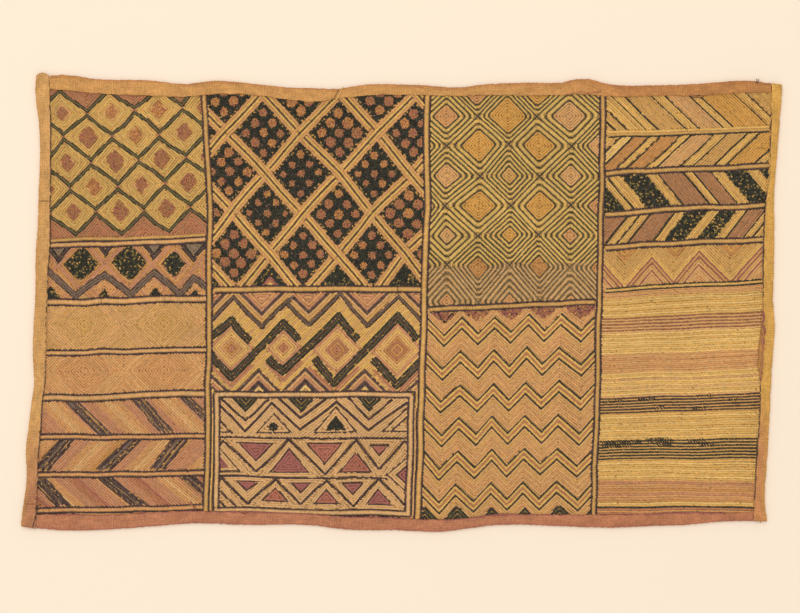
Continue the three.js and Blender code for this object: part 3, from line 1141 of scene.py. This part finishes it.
def column_four(work):
    lines = [cross_line(*ends) for ends in COLUMN_FOUR_LINES]
    uppers = [None] + lines[:3]
    for row, upper, lower in zip(HERRINGBONE, uppers, lines):
        work.within(**COLUMN_FOUR, upper=upper, lower=lower)
        herringbone_row(work, **row)
    work.within(**COLUMN_FOUR, upper=lines[3], lower=lines[4])
    line_peaks(work)
    work.within(**COLUMN_FOUR, upper=lines[4])
    striped_panel(work)
    for left, right in COLUMN_FOUR_LINES[1:4]:
        double_line(work, left, right, **COLUMN_FOUR)
    work.within(**COLUMN_FOUR)
    first_line = [np.array(end) - (0, 1.5) for end in COLUMN_FOUR_LINES[0]]
    work.line(first_line, ["gold", "dull", "black"], 2.7)
    work.line(COLUMN_FOUR_LINES[4], ["black", "gold", "black"], 2.4)


# Meshes from arrays


def joined_mesh(name, points, triangles):
    """An object from points, in millimetres, and triangles of closed shells, turned outwards."""
    first, second, third = (points[triangles[:, corner]] for corner in range(3))
    if np.sum(first * np.cross(second, third)) < 0:
        triangles = triangles[:, ::-1]
    mesh = bpy.data.meshes.new(name)
    mesh.vertices.add(len(points))
    mesh.vertices.foreach_set("co", (np.asarray(points) * MM).ravel())
    mesh.loops.add(triangles.size)
    mesh.loops.foreach_set("vertex_index", triangles.ravel().astype(np.int32))
    mesh.polygons.add(len(triangles))
    mesh.polygons.foreach_set("loop_start", np.arange(0, triangles.size, 3, dtype=np.int32))
    mesh.update(calc_edges=True)
    mesh.shade_smooth()
    piece = bpy.data.objects.new(name, mesh)
    bpy.context.scene.collection.objects.link(piece)
    return piece


def give_colours(piece, colours):
    """A colour for each point, read by the thread materials."""
    layer = piece.data.color_attributes.new("thread_colour", "FLOAT_COLOR", "POINT")
    rgba = np.column_stack([colours, np.ones(len(colours))])
    layer.data.foreach_set("color", rgba.ravel())


def give_map(piece, name, places):
    """A UV map with one place for each point."""
    corners = np.empty(len(piece.data.loops), int)
    piece.data.loops.foreach_get("vertex_index", corners)
    layer = piece.data.uv_layers.new(name=name)
    layer.data.foreach_set("uv", np.asarray(places)[corners].ravel())


def from_above(points):
    """A map of the points seen from above, filling the square."""
    plan = np.asarray(points)[:, :2]
    low, high = plan.min(0), plan.max(0)
    return 0.005 + 0.99 * (plan - low) / (high - low).max()


HAND_X = drift(seed=3, reach=0.6, shortest=50, longest=180)
HAND_Y = drift(seed=4, reach=0.6, shortest=50, longest=180)


def on_cloth(chart_x, chart_y):
    """Chart places as millimetres from the middle of the cloth, with the hand's unevenness."""
    x = chart_x + HAND_X(chart_x, chart_y) + CHART_ZERO[0]
    y = CHART_ZERO[1] - chart_y - HAND_Y(chart_x, chart_y)
    return x, y


def is_fine(threads):
    return np.isin(threads, [THREAD_NAMES.index(name) for name in FINE_THREADS])


def thread_shades(threads, tones):
    """Colours of single strands: each its own shade of its thread."""
    count = len(threads)
    depth = np.where(is_fine(threads), DICE.normal(0, 0.24, count), DICE.normal(0, 0.05, count) + tones)
    warmth = DICE.normal(0, 0.02, count)
    tint = np.column_stack([1 + warmth, np.ones(count), 1 - 1.6 * warmth])
    return PALETTE[threads] * np.exp(depth)[:, None] * tint


# A stitch is a small closed grain: two tips sewn down, and a crest between two shoulders.
# Its points, as shares of its half length and half width, and the layer that each lies on.
STITCH_POINTS = [
    (-1, 0, "foot"), (-0.58, 1, "shoulder"), (-0.46, 0, "crest"), (-0.58, -1, "shoulder"),
    (0.58, 1, "shoulder"), (0.46, 0, "crest"), (0.58, -1, "shoulder"), (1, 0, "foot"),
]
STITCH_FACES = np.array([
    (0, 2, 1), (0, 3, 2), (0, 1, 3),
    (1, 2, 5), (1, 5, 4), (2, 3, 6), (2, 6, 5), (3, 1, 4), (3, 4, 6),
    (7, 4, 5), (7, 5, 6), (7, 6, 4),
])
# How much wider a stitch is than its row
STITCH_SPREAD = 1.4
FINE_SPREAD = 1.12


def stitch_mesh(name, stitches):
    """A table of stitches as one mesh."""
    count = len(stitches)
    chart_x, chart_y, run_right, run_down, width, lift, thread, tone, _ = stitches.T
    x, y = on_cloth(chart_x, chart_y)
    along = np.column_stack([run_right, -run_down])
    length = np.hypot(run_right, run_down)
    threads = thread.astype(int)
    half_wide = 0.5 * np.where(is_fine(threads), FINE_SPREAD, STITCH_SPREAD) * width
    side = np.column_stack([-along[:, 1], along[:, 0]]) * (half_wide / length)[:, None]
    foot = lie(x, y) + GROUND_THICKNESS - STITCH_SINK
    shoulder = foot + SHOULDER_RISE + lift
    crest = foot + STITCH_SINK + lift + STITCH_HEIGHT * DICE.uniform(0.82, 1.14, count)
    heights = dict(foot=foot, shoulder=shoulder, crest=crest)
    points = np.empty((count, len(STITCH_POINTS), 3))
    strands = np.empty((count, len(STITCH_POINTS), 2))
    starts = DICE.uniform(0, 90, (count, 2))
    for index, (run, sway, layer) in enumerate(STITCH_POINTS):
        points[:, index, :2] = np.column_stack([x, y]) + run * along + sway * side
        points[:, index, 2] = heights[layer]
        strands[:, index] = starts + np.column_stack([run * length, sway * half_wide])
    points = points.reshape(-1, 3)
    faces = STITCH_FACES[None] + len(STITCH_POINTS) * np.arange(count)[:, None, None]
    piece = joined_mesh(name, points, faces.reshape(-1, 3))
    shades = thread_shades(threads, tone)
    give_colours(piece, np.repeat(shades, len(STITCH_POINTS), axis=0))
    give_map(piece, "StrandMap", strands.reshape(-1, 2))
    give_map(piece, "OFBake", from_above(points))
    return piece


# A tuft has a foot of three corners below its cut tip of three
TUFT_FACES = np.array([
    (0, 1, 4), (0, 4, 3), (1, 2, 5), (1, 5, 4), (2, 0, 3), (2, 3, 5), (3, 4, 5), (0, 2, 1),
])


def pile_mesh(name, tufts):
    """Each tuft a short cut bundle that leans a little."""
    count = len(tufts)
    chart_x, chart_y, thread, _ = tufts.T
    x, y = on_cloth(chart_x, chart_y)
    middle = np.column_stack([x, y])
    foot = lie(x, y) + GROUND_THICKNESS - TUFT_SINK
    height = TUFT_HEIGHT * DICE.uniform(0.72, 1.18, count)
    lean = DICE.normal(0, 0.32, (count, 2))
    turn = DICE.uniform(0, 2 * np.pi, count)
    tip = TUFT_TIP * DICE.uniform(0.75, 1.05, count)
    points = np.empty((count, 6, 3))
    for index in range(3):
        angle = turn + 2 * np.pi * index / 3
        outward = np.column_stack([np.cos(angle), np.sin(angle)])
        points[:, index, :2] = middle + TUFT_FOOT * outward
        points[:, index, 2] = foot
        points[:, index + 3, :2] = middle + lean + tip[:, None] * outward
        points[:, index + 3, 2] = foot + height * DICE.uniform(0.9, 1.1, count)
    points = points.reshape(-1, 3)
    faces = TUFT_FACES[None] + 6 * np.arange(count)[:, None, None]
    piece = joined_mesh(name, points, faces.reshape(-1, 3))
    shades = thread_shades(thread.astype(int), np.zeros(count))
    give_colours(piece, np.repeat(shades, 6, axis=0))
    give_map(piece, "StrandMap", points[:, [2, 0]])
    give_map(piece, "OFBake", from_above(points))
    return piece


# The ground's mesh: steps across and up, the rim's distance in from the outside of the folds, and a first
# guess of its size, from which it is fitted between the four sides in a few rounds
GROUND_STEPS = (150, 92)
GROUND_INSET = 2.4
GROUND_GUESS = (760, 455)
GROUND_ROUNDS = 4


def ground_sheet():
    """The woven ground: a thin closed sheet from fold to fold, under all the stitching.

    Its map has the face in the left half and the back in the right half.
    """
    across_steps, up_steps = GROUND_STEPS
    u, v = np.meshgrid(np.linspace(0, 1, across_steps + 1), np.linspace(0, 1, up_steps + 1))
    x, y = GROUND_GUESS[0] * (u - 0.5), GROUND_GUESS[1] * (v - 0.5)
    for _ in range(GROUND_ROUNDS):
        left, right = LEFT.outer_at(y) + GROUND_INSET, RIGHT.outer_at(y) - GROUND_INSET
        low, high = BOTTOM.outer_at(x) + GROUND_INSET, TOP.outer_at(x) - GROUND_INSET
        x, y = left + (right - left) * u, low + (high - low) * v
    under = np.column_stack([x.ravel(), y.ravel(), lie(x, y).ravel()])
    points = np.vstack([under + (0, 0, GROUND_THICKNESS), under])
    wide = across_steps + 1
    cell = np.arange(up_steps)[:, None] * wide + np.arange(across_steps)[None]
    quads = np.stack([cell, cell + 1, cell + wide + 1, cell + wide], -1).reshape(-1, 4)
    layer = len(under)
    rim = np.concatenate([
        np.arange(across_steps), across_steps + wide * np.arange(up_steps),
        layer - 1 - np.arange(across_steps), wide * np.arange(up_steps, 0, -1),
    ])
    after = np.roll(rim, -1)
    walls = np.column_stack([rim + layer, after + layer, after, rim])
    faces = np.vstack([quads, quads[:, ::-1] + layer, walls])
    triangles = np.vstack([faces[:, [0, 1, 2]], faces[:, [0, 2, 3]]])
    piece = joined_mesh("ground_sheet", points, triangles)
    plan = np.tile(np.column_stack([0.01 + 0.48 * u.ravel(), 0.01 + 0.98 * v.ravel()]), (2, 1))
    plan[layer:, 0] += 0.5
    give_map(piece, "OFBake", plan)
    return piece


# Border strips

FOLD_STEPS = 9
FLAP_STEPS = 10
LEAN_REACH = 30.0
END_GAP = 0.05
EDGE_WAVER = 0.42
EDGE_SETBACK = 0.2
PUFF_RISE = 0.3
SEWN_DIP = 0.3


def strip_section(front):
    """Outside and inside of a folded strip: distance in from the fold, and height."""
    radius = FOLD_HEIGHT / 2
    turns = np.linspace(-0.5, -1.5, FOLD_STEPS) * np.pi
    shares = np.linspace(0, 1, FLAP_STEPS + 1)[1:]
    faces = []
    for depth in (0.0, STRIP_THICKNESS):
        reach = radius - depth
        fold = np.column_stack([radius + reach * np.cos(turns), radius + reach * np.sin(turns)])
        flap = np.column_stack([radius + (front - radius) * shares, np.full(FLAP_STEPS, radius + reach)])
        faces.append(np.vstack([(BACK_FLAP, depth), fold, flap]))
    return faces


def folded_strip(node, side, lean_start=0.0, lean_end=0.0, bulge_end=0.0):
    """A border strip folded over the raw edge, where its solid lies. Also gives its mean flat width."""
    low, high = (corner[side.axis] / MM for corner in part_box(node))
    low += max(0.0, -lean_start) + END_GAP
    high -= max(0.0, lean_end, bulge_end) + END_GAP
    places = np.linspace(low, high, round((high - low) / STRIP_STEP) + 1)
    seed = 31 + len(node)
    puff = drift(seed, reach=0.22, shortest=14, longest=60)
    waver = drift(seed + 50, reach=EDGE_WAVER, shortest=4, longest=16)
    rings, maps, widths = [], [], []
    for along in places:
        outer = float(side.outer_at(along)) - side.outward * (EDGE_SETBACK + abs(waver(along, 0.0)))
        front = abs(outer - float(side.seam_at(along))) + waver(along, 90.0)
        outside, inside = strip_section(front)
        start_share = max(0.0, 1 - (along - low) / LEAN_REACH)
        end_share = max(0.0, 1 - (high - along) / LEAN_REACH)
        rise = PUFF_RISE * puff(along, 7 * np.arange(len(outside)))
        outside[1:, 1] += rise[1:] * np.linspace(0, 1, len(outside) - 1)
        outside[-1, 1] -= SEWN_DIP
        rounds = np.concatenate([[0], np.cumsum(np.hypot(*np.diff(outside, axis=0).T))])
        widths.append(rounds[-1])
        rounds = rounds - rounds[1 + FOLD_STEPS // 2]
        for face in (outside, inside[::-1]):
            share = np.clip(face[:, 0] / front, 0, 1)
            shift = lean_start * share * start_share + lean_end * share * end_share
            shift = shift + bulge_end * np.sin(np.pi * share) * end_share
            across = outer - side.outward * face[:, 0]
            plan = (along + shift, across) if side.axis == 0 else (across, along + shift)
            rings.append(np.column_stack([*plan, np.maximum(face[:, 1], 0)]))
        maps.append(np.column_stack([np.full(len(rounds), along), rounds]))
        maps.append(maps[-1][::-1])
    size = 2 * len(outside)
    points = np.vstack(rings)
    triangles = np.vstack([tube_faces(len(places), size), end_faces(size, len(points))])
    piece = joined_mesh(node.replace("border", "strip"), points, triangles)
    give_map(piece, "StripMap", np.vstack(maps))
    return piece, float(np.mean(widths)) * MM


def tube_faces(stations, size):
    """Triangles of a closed tube through rings of one size."""
    ring = np.arange(size)
    first = np.arange(stations - 1)[:, None] * size
    here, beyond = (first + ring).ravel(), (first + np.roll(ring, -1)).ravel()
    return np.vstack([
        np.column_stack([here, beyond, beyond + size]),
        np.column_stack([here, beyond + size, here + size]),
    ])


def end_faces(size, total):
    """Triangles that close both ends of a strip, between its outside and its inside."""
    near = np.arange(size // 2 - 1)
    far = size - 1 - near
    first = np.vstack([np.column_stack([near, far, near + 1]), np.column_stack([far, far - 1, near + 1])])
    return np.vstack([first, first[:, ::-1] + total - size])


# Materials


class Tree:
    """Short words for building a node tree. Inputs are plain values or the outputs of other nodes."""

    def __init__(self, tree):
        self.tree = tree

    def add(self, kind, inputs=None, **settings):
        node = self.tree.nodes.new(kind)
        for key, value in settings.items():
            setattr(node, key, value)
        for key, value in (inputs or {}).items():
            if isinstance(value, bpy.types.NodeSocket):
                self.tree.links.new(value, node.inputs[key])
            else:
                node.inputs[key].default_value = value
        return node

    def math(self, operation, *values):
        return self.add("ShaderNodeMath", dict(enumerate(values)), operation=operation).outputs[0]

    def noise(self, place, scale, detail):
        inputs = {"Vector": place, "Scale": scale, "Detail": detail, "Roughness": 0.6}
        return self.add("ShaderNodeTexNoise", inputs).outputs["Fac"]

    def spread(self, value, from_low, from_high, low, high):
        inputs = {0: value, 1: from_low, 2: from_high, 3: low, 4: high}
        return self.add("ShaderNodeMapRange", inputs).outputs["Result"]

    def scaled(self, vector, factors):
        return self.add("ShaderNodeVectorMath", {0: vector, 1: factors}, operation="MULTIPLY").outputs[0]

    def shade(self, colour, tone):
        inputs = {"Vector": colour, "Scale": tone}
        return self.add("ShaderNodeVectorMath", inputs, operation="SCALE").outputs[0]

    def mix(self, factor, first, second):
        return self.add("ShaderNodeMix", {0: factor, 6: first, 7: second}, data_type="RGBA").outputs[2]

    def group(self, effect_group, place):
        """The outputs of an effect at a place."""
        return self.add("ShaderNodeGroup", {"Vector": place}, node_tree=effect_group).outputs


def effect(name, outputs):
    """An empty node group with a Vector input and the named outputs, its tree and that input."""
    group = bpy.data.node_groups.new(name, "ShaderNodeTree")
    group.interface.new_socket("Vector", in_out="INPUT", socket_type="NodeSocketVector")
    for output in outputs:
        group.interface.new_socket(output, in_out="OUTPUT", socket_type="NodeSocketFloat")
    tree = Tree(group)
    place = tree.add("NodeGroupInput").outputs["Vector"]
    return group, tree, place


def raffia_fibre():
    """Fine streaks along a strand, on a map in millimetres along and across it."""
    group, tree, place = effect("raffia_fibre", ["Tone", "Height"])
    streak = tree.noise(tree.scaled(place, (0.12, 1.7, 1.0)), 1.0, 3.0)
    tone = tree.spread(streak, 0.25, 0.75, 0.86, 1.14)
    tree.add("NodeGroupOutput", {"Tone": tone, "Height": streak})
    return group


def plain_weave_with_painted_shade():
    """Strands that pass over and under one another, on places in millimetres. Its tone is painted shade,
    darker where a strand dips under the crossing one.
    """
    group, tree, place = effect("plain_weave_with_painted_shade", ["Tone", "Height"])
    bent = tree.noise(place, 0.08, 2.0)
    parts = tree.add("ShaderNodeSeparateXYZ", {"Vector": place})
    turns = []
    for output, pitch in (("X", 1.9), ("Y", 1.7)):
        moved = tree.math("ADD", parts.outputs[output], bent)
        turns.append(tree.math("SINE", tree.math("MULTIPLY", moved, math.pi / pitch)))
    height = tree.math("ABSOLUTE", tree.math("MULTIPLY", *turns))
    # Painted shade: the tone darkens where the strands dip under one another and lightens on their tops.
    tone = tree.spread(height, 0.0, 1.0, 0.78, 1.06)
    tree.add("NodeGroupOutput", {"Tone": tone, "Height": height})
    return group


def ribbed_weave_with_painted_shade():
    """Close uneven ribs both ways in a strip, with blotches, on its map in millimetres. The ribs' tone is
    painted shade in their troughs; the blotches and streaks are the strip's own.
    """
    group, tree, place = effect("ribbed_weave_with_painted_shade", ["Tone", "Height"])
    bent = tree.noise(tree.scaled(place, (0.06, 0.12, 1.0)), 1.0, 2.0)
    sway = tree.math("MULTIPLY", bent, 3.0)
    parts = tree.add("ShaderNodeSeparateXYZ", {"Vector": place})
    ribs = []
    for output, pitch in (("X", 2.4), ("Y", 2.1)):
        moved = tree.math("ADD", parts.outputs[output], sway)
        ribs.append(tree.math("SINE", tree.math("MULTIPLY", moved, 2 * math.pi / pitch)))
    along = tree.noise(tree.scaled(place, (0.12, 0.9, 1.0)), 1.0, 3.0)
    across = tree.noise(tree.scaled(place, (0.75, 0.12, 1.0)), 1.0, 3.0)
    speck = tree.noise(tree.scaled(place, (0.4, 0.5, 1.0)), 1.0, 3.0)
    blotch = tree.noise(tree.scaled(place, (0.06, 0.14, 1.0)), 1.0, 3.0)
    height = tree.math("ADD", tree.math("MULTIPLY", ribs[0], 0.4), tree.math("MULTIPLY", ribs[1], 0.4))
    # Painted shade: darker in the troughs between ribs, lighter on their crests.
    tone = tree.spread(height, -0.8, 0.8, 0.87, 1.1)
    layers = ((along, 0.84, 1.16), (across, 0.82, 1.18), (speck, 0.84, 1.16), (blotch, 0.78, 1.22))
    for layer, least, most in layers:
        tone = tree.math("MULTIPLY", tone, tree.spread(layer, 0.25, 0.75, least, most))
    raised = tree.math("ADD", height, speck)
    tree.add("NodeGroupOutput", {"Tone": tone, "Height": raised})
    return group


def age_tone():
    """Uneven fading over the whole cloth, on places in metres."""
    group, tree, place = effect("age_tone", ["Tone"])
    broad = tree.spread(tree.noise(place, 9.0, 3.0), 0.3, 0.7, 0.94, 1.06)
    small = tree.spread(tree.noise(place, 55.0, 2.0), 0.3, 0.7, 0.965, 1.035)
    tree.add("NodeGroupOutput", {"Tone": tree.math("MULTIPLY", broad, small)})
    return group


FIBRE = raffia_fibre()
WEAVE = plain_weave_with_painted_shade()
RIBS = ribbed_weave_with_painted_shade()
AGE = age_tone()


def srgb(*colour):
    return (*linear(colour), 1.0)


def finish_material(material, tree, colour, effect_outputs, roughness, depth):
    """Joins a colour and an effect's tone and relief to a matt shader."""
    height = effect_outputs["Height"]
    relief = tree.add("ShaderNodeBump", {"Height": height, "Strength": 0.8, "Distance": depth * MM})
    aged = tree.group(AGE, tree.add("ShaderNodeTexCoord").outputs["Object"])
    tone = tree.math("MULTIPLY", effect_outputs["Tone"], aged["Tone"])
    shader = tree.add("ShaderNodeBsdfPrincipled", {
        "Base Color": tree.shade(colour, tone),
        "Roughness": roughness,
        "Specular IOR Level": 0.25,
        "Normal": relief.outputs["Normal"],
    })
    tree.add("ShaderNodeOutputMaterial", {"Surface": shader.outputs["BSDF"]})
    return material


def new_material(name):
    material = bpy.data.materials.new(name)
    material.use_nodes = True
    material.node_tree.nodes.clear()
    return material, Tree(material.node_tree)


def thread_material(name, roughness):
    """Dyed raffia: each strand's own colour, with fibres along it."""
    material, tree = new_material(name)
    strand = tree.add("ShaderNodeUVMap", uv_map="StrandMap").outputs["UV"]
    colour = tree.add("ShaderNodeAttribute", attribute_name="thread_colour").outputs["Color"]
    return finish_material(material, tree, colour, tree.group(FIBRE, strand), roughness, depth=0.12)


def ground_material():
    """Undyed plain weave."""
    material, tree = new_material("raffia ground")
    place = tree.add("ShaderNodeTexCoord").outputs["Object"]
    # The weave's tone is painted shade in the dips between strands.
    weave = tree.group(WEAVE, tree.scaled(place, (1 / MM,) * 3))
    speck = tree.noise(place, 300.0, 2.0)
    colour = tree.mix(speck, srgb(176, 126, 72), srgb(206, 160, 98))
    return finish_material(material, tree, colour, weave, roughness=0.85, depth=0.35)


def border_material(name, main, roll, end, end_span, stain_span=None):
    """Ribbed plain weave. The rolled edge has its own colour, partly the strip's own redder tone and
    partly painted shade where the fold curves over, and one end of the strip has its own tint.

    The spans are places along the strip. A stain darkens the sewn edge within its span.
    """
    material, tree = new_material(name)
    place = tree.add("ShaderNodeUVMap", uv_map="StripMap").outputs["UV"]
    parts = tree.add("ShaderNodeSeparateXYZ", {"Vector": place})
    patchy = tree.noise(tree.scaled(place, (0.02, 0.1, 1.0)), 1.0, 3.0)
    wander = tree.math("MULTIPLY", patchy, 9.0)
    # The roll colour on the rolled edge is partly the strip's own redder tone and partly painted shade of
    # the fold's curve.
    roll_tint_and_shade = tree.spread(tree.math("ADD", parts.outputs["Y"], wander), 4.0, 10.0, 1.0, 0.0)
    along = tree.math("ADD", parts.outputs["X"], tree.math("MULTIPLY", patchy, 60.0))
    ended = tree.spread(along, end_span[0] + 30, end_span[1] + 30, 0.0, 1.0)
    colour = tree.mix(roll_tint_and_shade, tree.mix(ended, srgb(*main), srgb(*end)), srgb(*roll))
    if stain_span:
        middle, half = 0.5 * sum(stain_span), 0.5 * abs(stain_span[1] - stain_span[0])
        away = tree.math("ABSOLUTE", tree.math("SUBTRACT", along, middle + 30))
        inward = tree.spread(tree.math("ADD", parts.outputs["Y"], wander), 13.0, 19.0, 0.0, 0.85)
        stained = tree.math("MULTIPLY", tree.spread(away, 0.5 * half, half, 1.0, 0.0), inward)
        colour = tree.mix(stained, colour, srgb(148, 96, 58))
    return finish_material(material, tree, colour, tree.group(RIBS, place), roughness=0.8, depth=0.35)


def plain_material(name, colour, roughness):
    material, tree = new_material(name)
    shader = tree.add("ShaderNodeBsdfPrincipled", {"Base Color": srgb(*colour), "Roughness": roughness})
    tree.add("ShaderNodeOutputMaterial", {"Surface": shader.outputs["BSDF"]})
    return material


# The cloth


def sew():
    """All the needlework on the ground."""
    work = Needlework(ground_mask(UNDERLAP))
    column_one(work)
    column_two(work)
    column_three(work)
    column_four(work)
    for divider, gap in zip(DIVIDERS, DIVIDER_GAPS):
        divider_line(work, divider, gap)
    return work


# Sewing on the borders, beside the long seams: thread, pitch and chart points
BORDER_STITCHES = [
    ("rust", 0.9, [(26, 504), (33, 503.5), (40, 504)]),
    ("grey", 1.8, [(38, 506), (36.5, 515), (33.5, 527)]),
    ("rust", 1.0, [(571, 94), (580, 91.5), (589, 93.5), (601, 92)]),
    ("brown", 1.4, [(691, 95), (697, 97), (703, 96)]),
    ("mauve", 1.5, [(761.5, 311), (763.5, 317), (762, 324), (764.5, 331), (762.5, 338), (763, 345)]),
    ("rust", 1.4, [
        (763.5, 333), (761.5, 341), (763, 349), (760.5, 356), (761.5, 364), (759.5, 371), (761, 380),
    ]),
    ("brown", 1.3, [(760.5, 352), (762, 359), (760, 366), (761.5, 374)]),
]

# Seam rows, in millimetres: how far short of the sides' ends, between points, and out from the seam
SEAM_END = 18
SEAM_STEP = 9.0
SEAM_SHIFT = 0.3
# Further out than any border reaches
BEYOND_BORDERS = 50


def seam_work_and_shade():
    """Sewing along the inner edges of the borders, and where they were mended. The dark rows along the
    seams are partly the sewing thread and partly painted shade of the strips' inner edges.
    """
    work = Needlework(ground_mask(BEYOND_BORDERS))
    # The seam rows' dark threads are partly real sewing and partly painted shade where the strips' inner
    # edges shade the ground.
    for side, thread, pitch in ((LEFT, "grey", 2.2), (RIGHT, "grey", 1.9), (BOTTOM, "mauve", 1.4)):
        along = np.arange(side.places[0] + SEAM_END, side.places[-1] - SEAM_END, SEAM_STEP)
        seam = side.seam_at(along) + side.outward * SEAM_SHIFT
        x, y = (along, seam) if side.axis == 0 else (seam, along)
        work.line(np.column_stack([x - CHART_ZERO[0], CHART_ZERO[1] - y]), [thread], pitch, SEAM_LIFT)
    for thread, pitch, points in BORDER_STITCHES:
        work.line(points, [thread], pitch, MEND_LIFT)
    return work


def ground_mask(reach):
    """Cells of the chart that lie further in than the seams, or less than reach beyond them."""
    columns, rows = (int(size / CELL) for size in CHART_SIZE)
    x = CHART_ZERO[0] + (np.arange(columns)[None, :] + 0.5) * CELL
    y = CHART_ZERO[1] - (np.arange(rows)[:, None] + 0.5) * CELL
    return seam_distance(x, y) > -reach


def stitch_column(table):
    """Which of the four columns each stitch or tuft lies in."""
    x, y = table[:, 0], table[:, 1]
    return sum((x > divider(y)).astype(int) for divider in DIVIDERS)


# Strand ends on the chart, with heights: places right, down and up. They stand at the join of the top
# border, in a dark tuft near its right end, and at the frayed lower right corner.
LOOSE_STRANDS = {
    "join_strand": ((214, 172, 98), [
        [(343, 87, 3.6), (341, 92, 4.4), (338, 96, 4.0), (336, 101, 3.2)],
    ]),
    "dark_tuft": ((104, 66, 44), [
        [(755.5, 84, 3.4), (757, 81.5, 4.3), (756.5, 79, 3.2)],
        [(757, 84, 3.4), (758, 82, 4.2), (758.5, 79.5, 3.2)],
    ]),
    "corner_fray": ((198, 146, 88), [
        [(761, 512, 1.5), (764, 517, 2.4), (767, 521, 1.2)],
        [(757, 514, 1.5), (760, 519, 2.0), (761, 523, 0.9)],
    ]),
}
STRAND_RADIUS = 0.45


def loose_strand(name, strands):
    """A bunch of strand ends as one mesh."""
    curve = bpy.data.curves.new(name, "CURVE")
    curve.dimensions = "3D"
    curve.bevel_depth = STRAND_RADIUS * MM
    curve.bevel_resolution = 2
    curve.use_fill_caps = True
    for chart_points in strands:
        spline = curve.splines.new("NURBS")
        spline.points.add(len(chart_points) - 1)
        spline.use_endpoint_u = True
        spline.order_u = 3
        for point, (x, y, z) in zip(spline.points, chart_points):
            point.co = ((x + CHART_ZERO[0]) * MM, (CHART_ZERO[1] - y) * MM, z * MM, 1.0)
    piece = bpy.data.objects.new(name, curve)
    bpy.context.scene.collection.objects.link(piece)
    bpy.ops.object.select_all(action="DESELECT")
    bpy.context.view_layer.objects.active = piece
    piece.select_set(True)
    bpy.ops.object.convert(target="MESH")
    piece.select_set(False)
    piece.data.shade_smooth()
    return piece


def build_cloth():
    work, seams = sew(), seam_work_and_shade()
    thread = thread_material("raffia stitching", roughness=0.65)
    tuft = thread_material("raffia cut pile", roughness=0.9)
    stitches, tufts = work.kept(work.stitches), work.kept(work.tufts)
    sewn = []
    for index, word in enumerate(("one", "two", "three", "four")):
        piece = stitch_mesh(f"stitching_column_{word}", stitches[stitch_column(stitches) == index])
        sewn.append((piece, thread))
        piece = pile_mesh(f"pile_column_{word}", tufts[stitch_column(tufts) == index])
        sewn.append((piece, tuft))
    sewn.append((stitch_mesh("seam_stitching_and_shade", seams.kept(seams.stitches)), thread))
    for name, (colour, strands) in LOOSE_STRANDS.items():
        strand_material = plain_material(name.replace("_", " "), colour, roughness=0.7)
        sewn.append((loose_strand(name, strands), strand_material))
    for piece, material in sewn:
        piece.data.materials.append(material)
        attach(piece, "root")
    ground = ground_sheet()
    ground.data.materials.append(ground_material())
    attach(ground, "root")
    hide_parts("ground_panel")


def build_borders():
    # The third colour of each strip is its rolled edge: partly its own redder tone, partly painted shade
    # of the fold.
    tan = border_material("border tan", (201, 150, 89), (197, 145, 83), (180, 121, 83), (-120, -190))
    orange = border_material("border orange", (200, 145, 83), (177, 115, 68), (186, 127, 72), (120, 230))
    gold = border_material(
        "border gold", (206, 155, 76), (204, 151, 73), (194, 132, 81), (-90, -150), stain_span=(-10, -85),
    )
    red = border_material("border red", (181, 118, 83), (173, 107, 80), (180, 116, 80), (100, 200))
    for node, side, material, slot, ends in (
        ("border_left_lower", LEFT, tan, "border_tan", dict(lean_start=-2.5)),
        ("border_left_upper", LEFT, tan, "border_tan", dict(bulge_end=3.0)),
        ("border_top_left", TOP, orange, "border_orange", dict(lean_end=-5.0)),
        ("border_top_right", TOP, orange, "border_orange", dict(lean_start=-5.0)),
        ("border_right", RIGHT, gold, "border_gold", dict(lean_end=1.5)),
        ("border_bottom", BOTTOM, red, "border_red", {}),
    ):
        strip, width = folded_strip(node, side, **ends)
        strip.data.materials.append(material)
        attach(strip, "root")
        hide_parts(node)


# Floor, light and camera, in metres. The camera looks straight down on the middle of its view.

FLOOR_COLOUR = (247, 229, 207)
FLOOR_SIZE = 14
FLOOR_LEVEL = -0.0004
SKY_COLOUR = (1.0, 0.985, 0.965, 1.0)
SKY_STRENGTH = 0.8
LAMP_PLACE = (-0.8, 1.0, 3.4)
LAMP_SIZE = 3.0
LAMP_POWER = 48.0
LENS = 85
FILM = 36
VIEW_MIDDLE = (-0.0015, -0.004, 0.002)
VIEW_WIDTH = 0.8


def set_stage():
    """A pale floor, soft light and a camera that looks straight down."""
    bpy.ops.mesh.primitive_plane_add(size=FLOOR_SIZE, location=(0, 0, FLOOR_LEVEL))
    floor = bpy.context.object
    floor.name = "floor"
    floor.data.materials.append(plain_material("pale floor", FLOOR_COLOUR, roughness=0.95))

    world = bpy.data.worlds.new("studio")
    world.use_nodes = True
    background = world.node_tree.nodes["Background"]
    background.inputs["Color"].default_value = SKY_COLOUR
    background.inputs["Strength"].default_value = SKY_STRENGTH
    bpy.context.scene.world = world

    lamp = bpy.data.lights.new("key_light", "AREA")
    lamp.size = LAMP_SIZE
    lamp.energy = LAMP_POWER
    light = bpy.data.objects.new("key_light", lamp)
    light.location = LAMP_PLACE
    light.rotation_euler = (-light.location).to_track_quat("-Z", "Y").to_euler()
    bpy.context.scene.collection.objects.link(light)

    camera_data = bpy.data.cameras.new("camera")
    camera_data.lens = LENS
    camera_data.sensor_width = FILM
    camera = bpy.data.objects.new("camera", camera_data)
    x, y, level = VIEW_MIDDLE
    camera.location = (x, y, level + VIEW_WIDTH * LENS / FILM)
    bpy.context.scene.collection.objects.link(camera)
    bpy.context.scene.camera = camera
    bpy.context.scene.view_settings.view_transform = "Standard"


build_cloth()
build_borders()
set_stage()

bpy.context.view_layer.update()
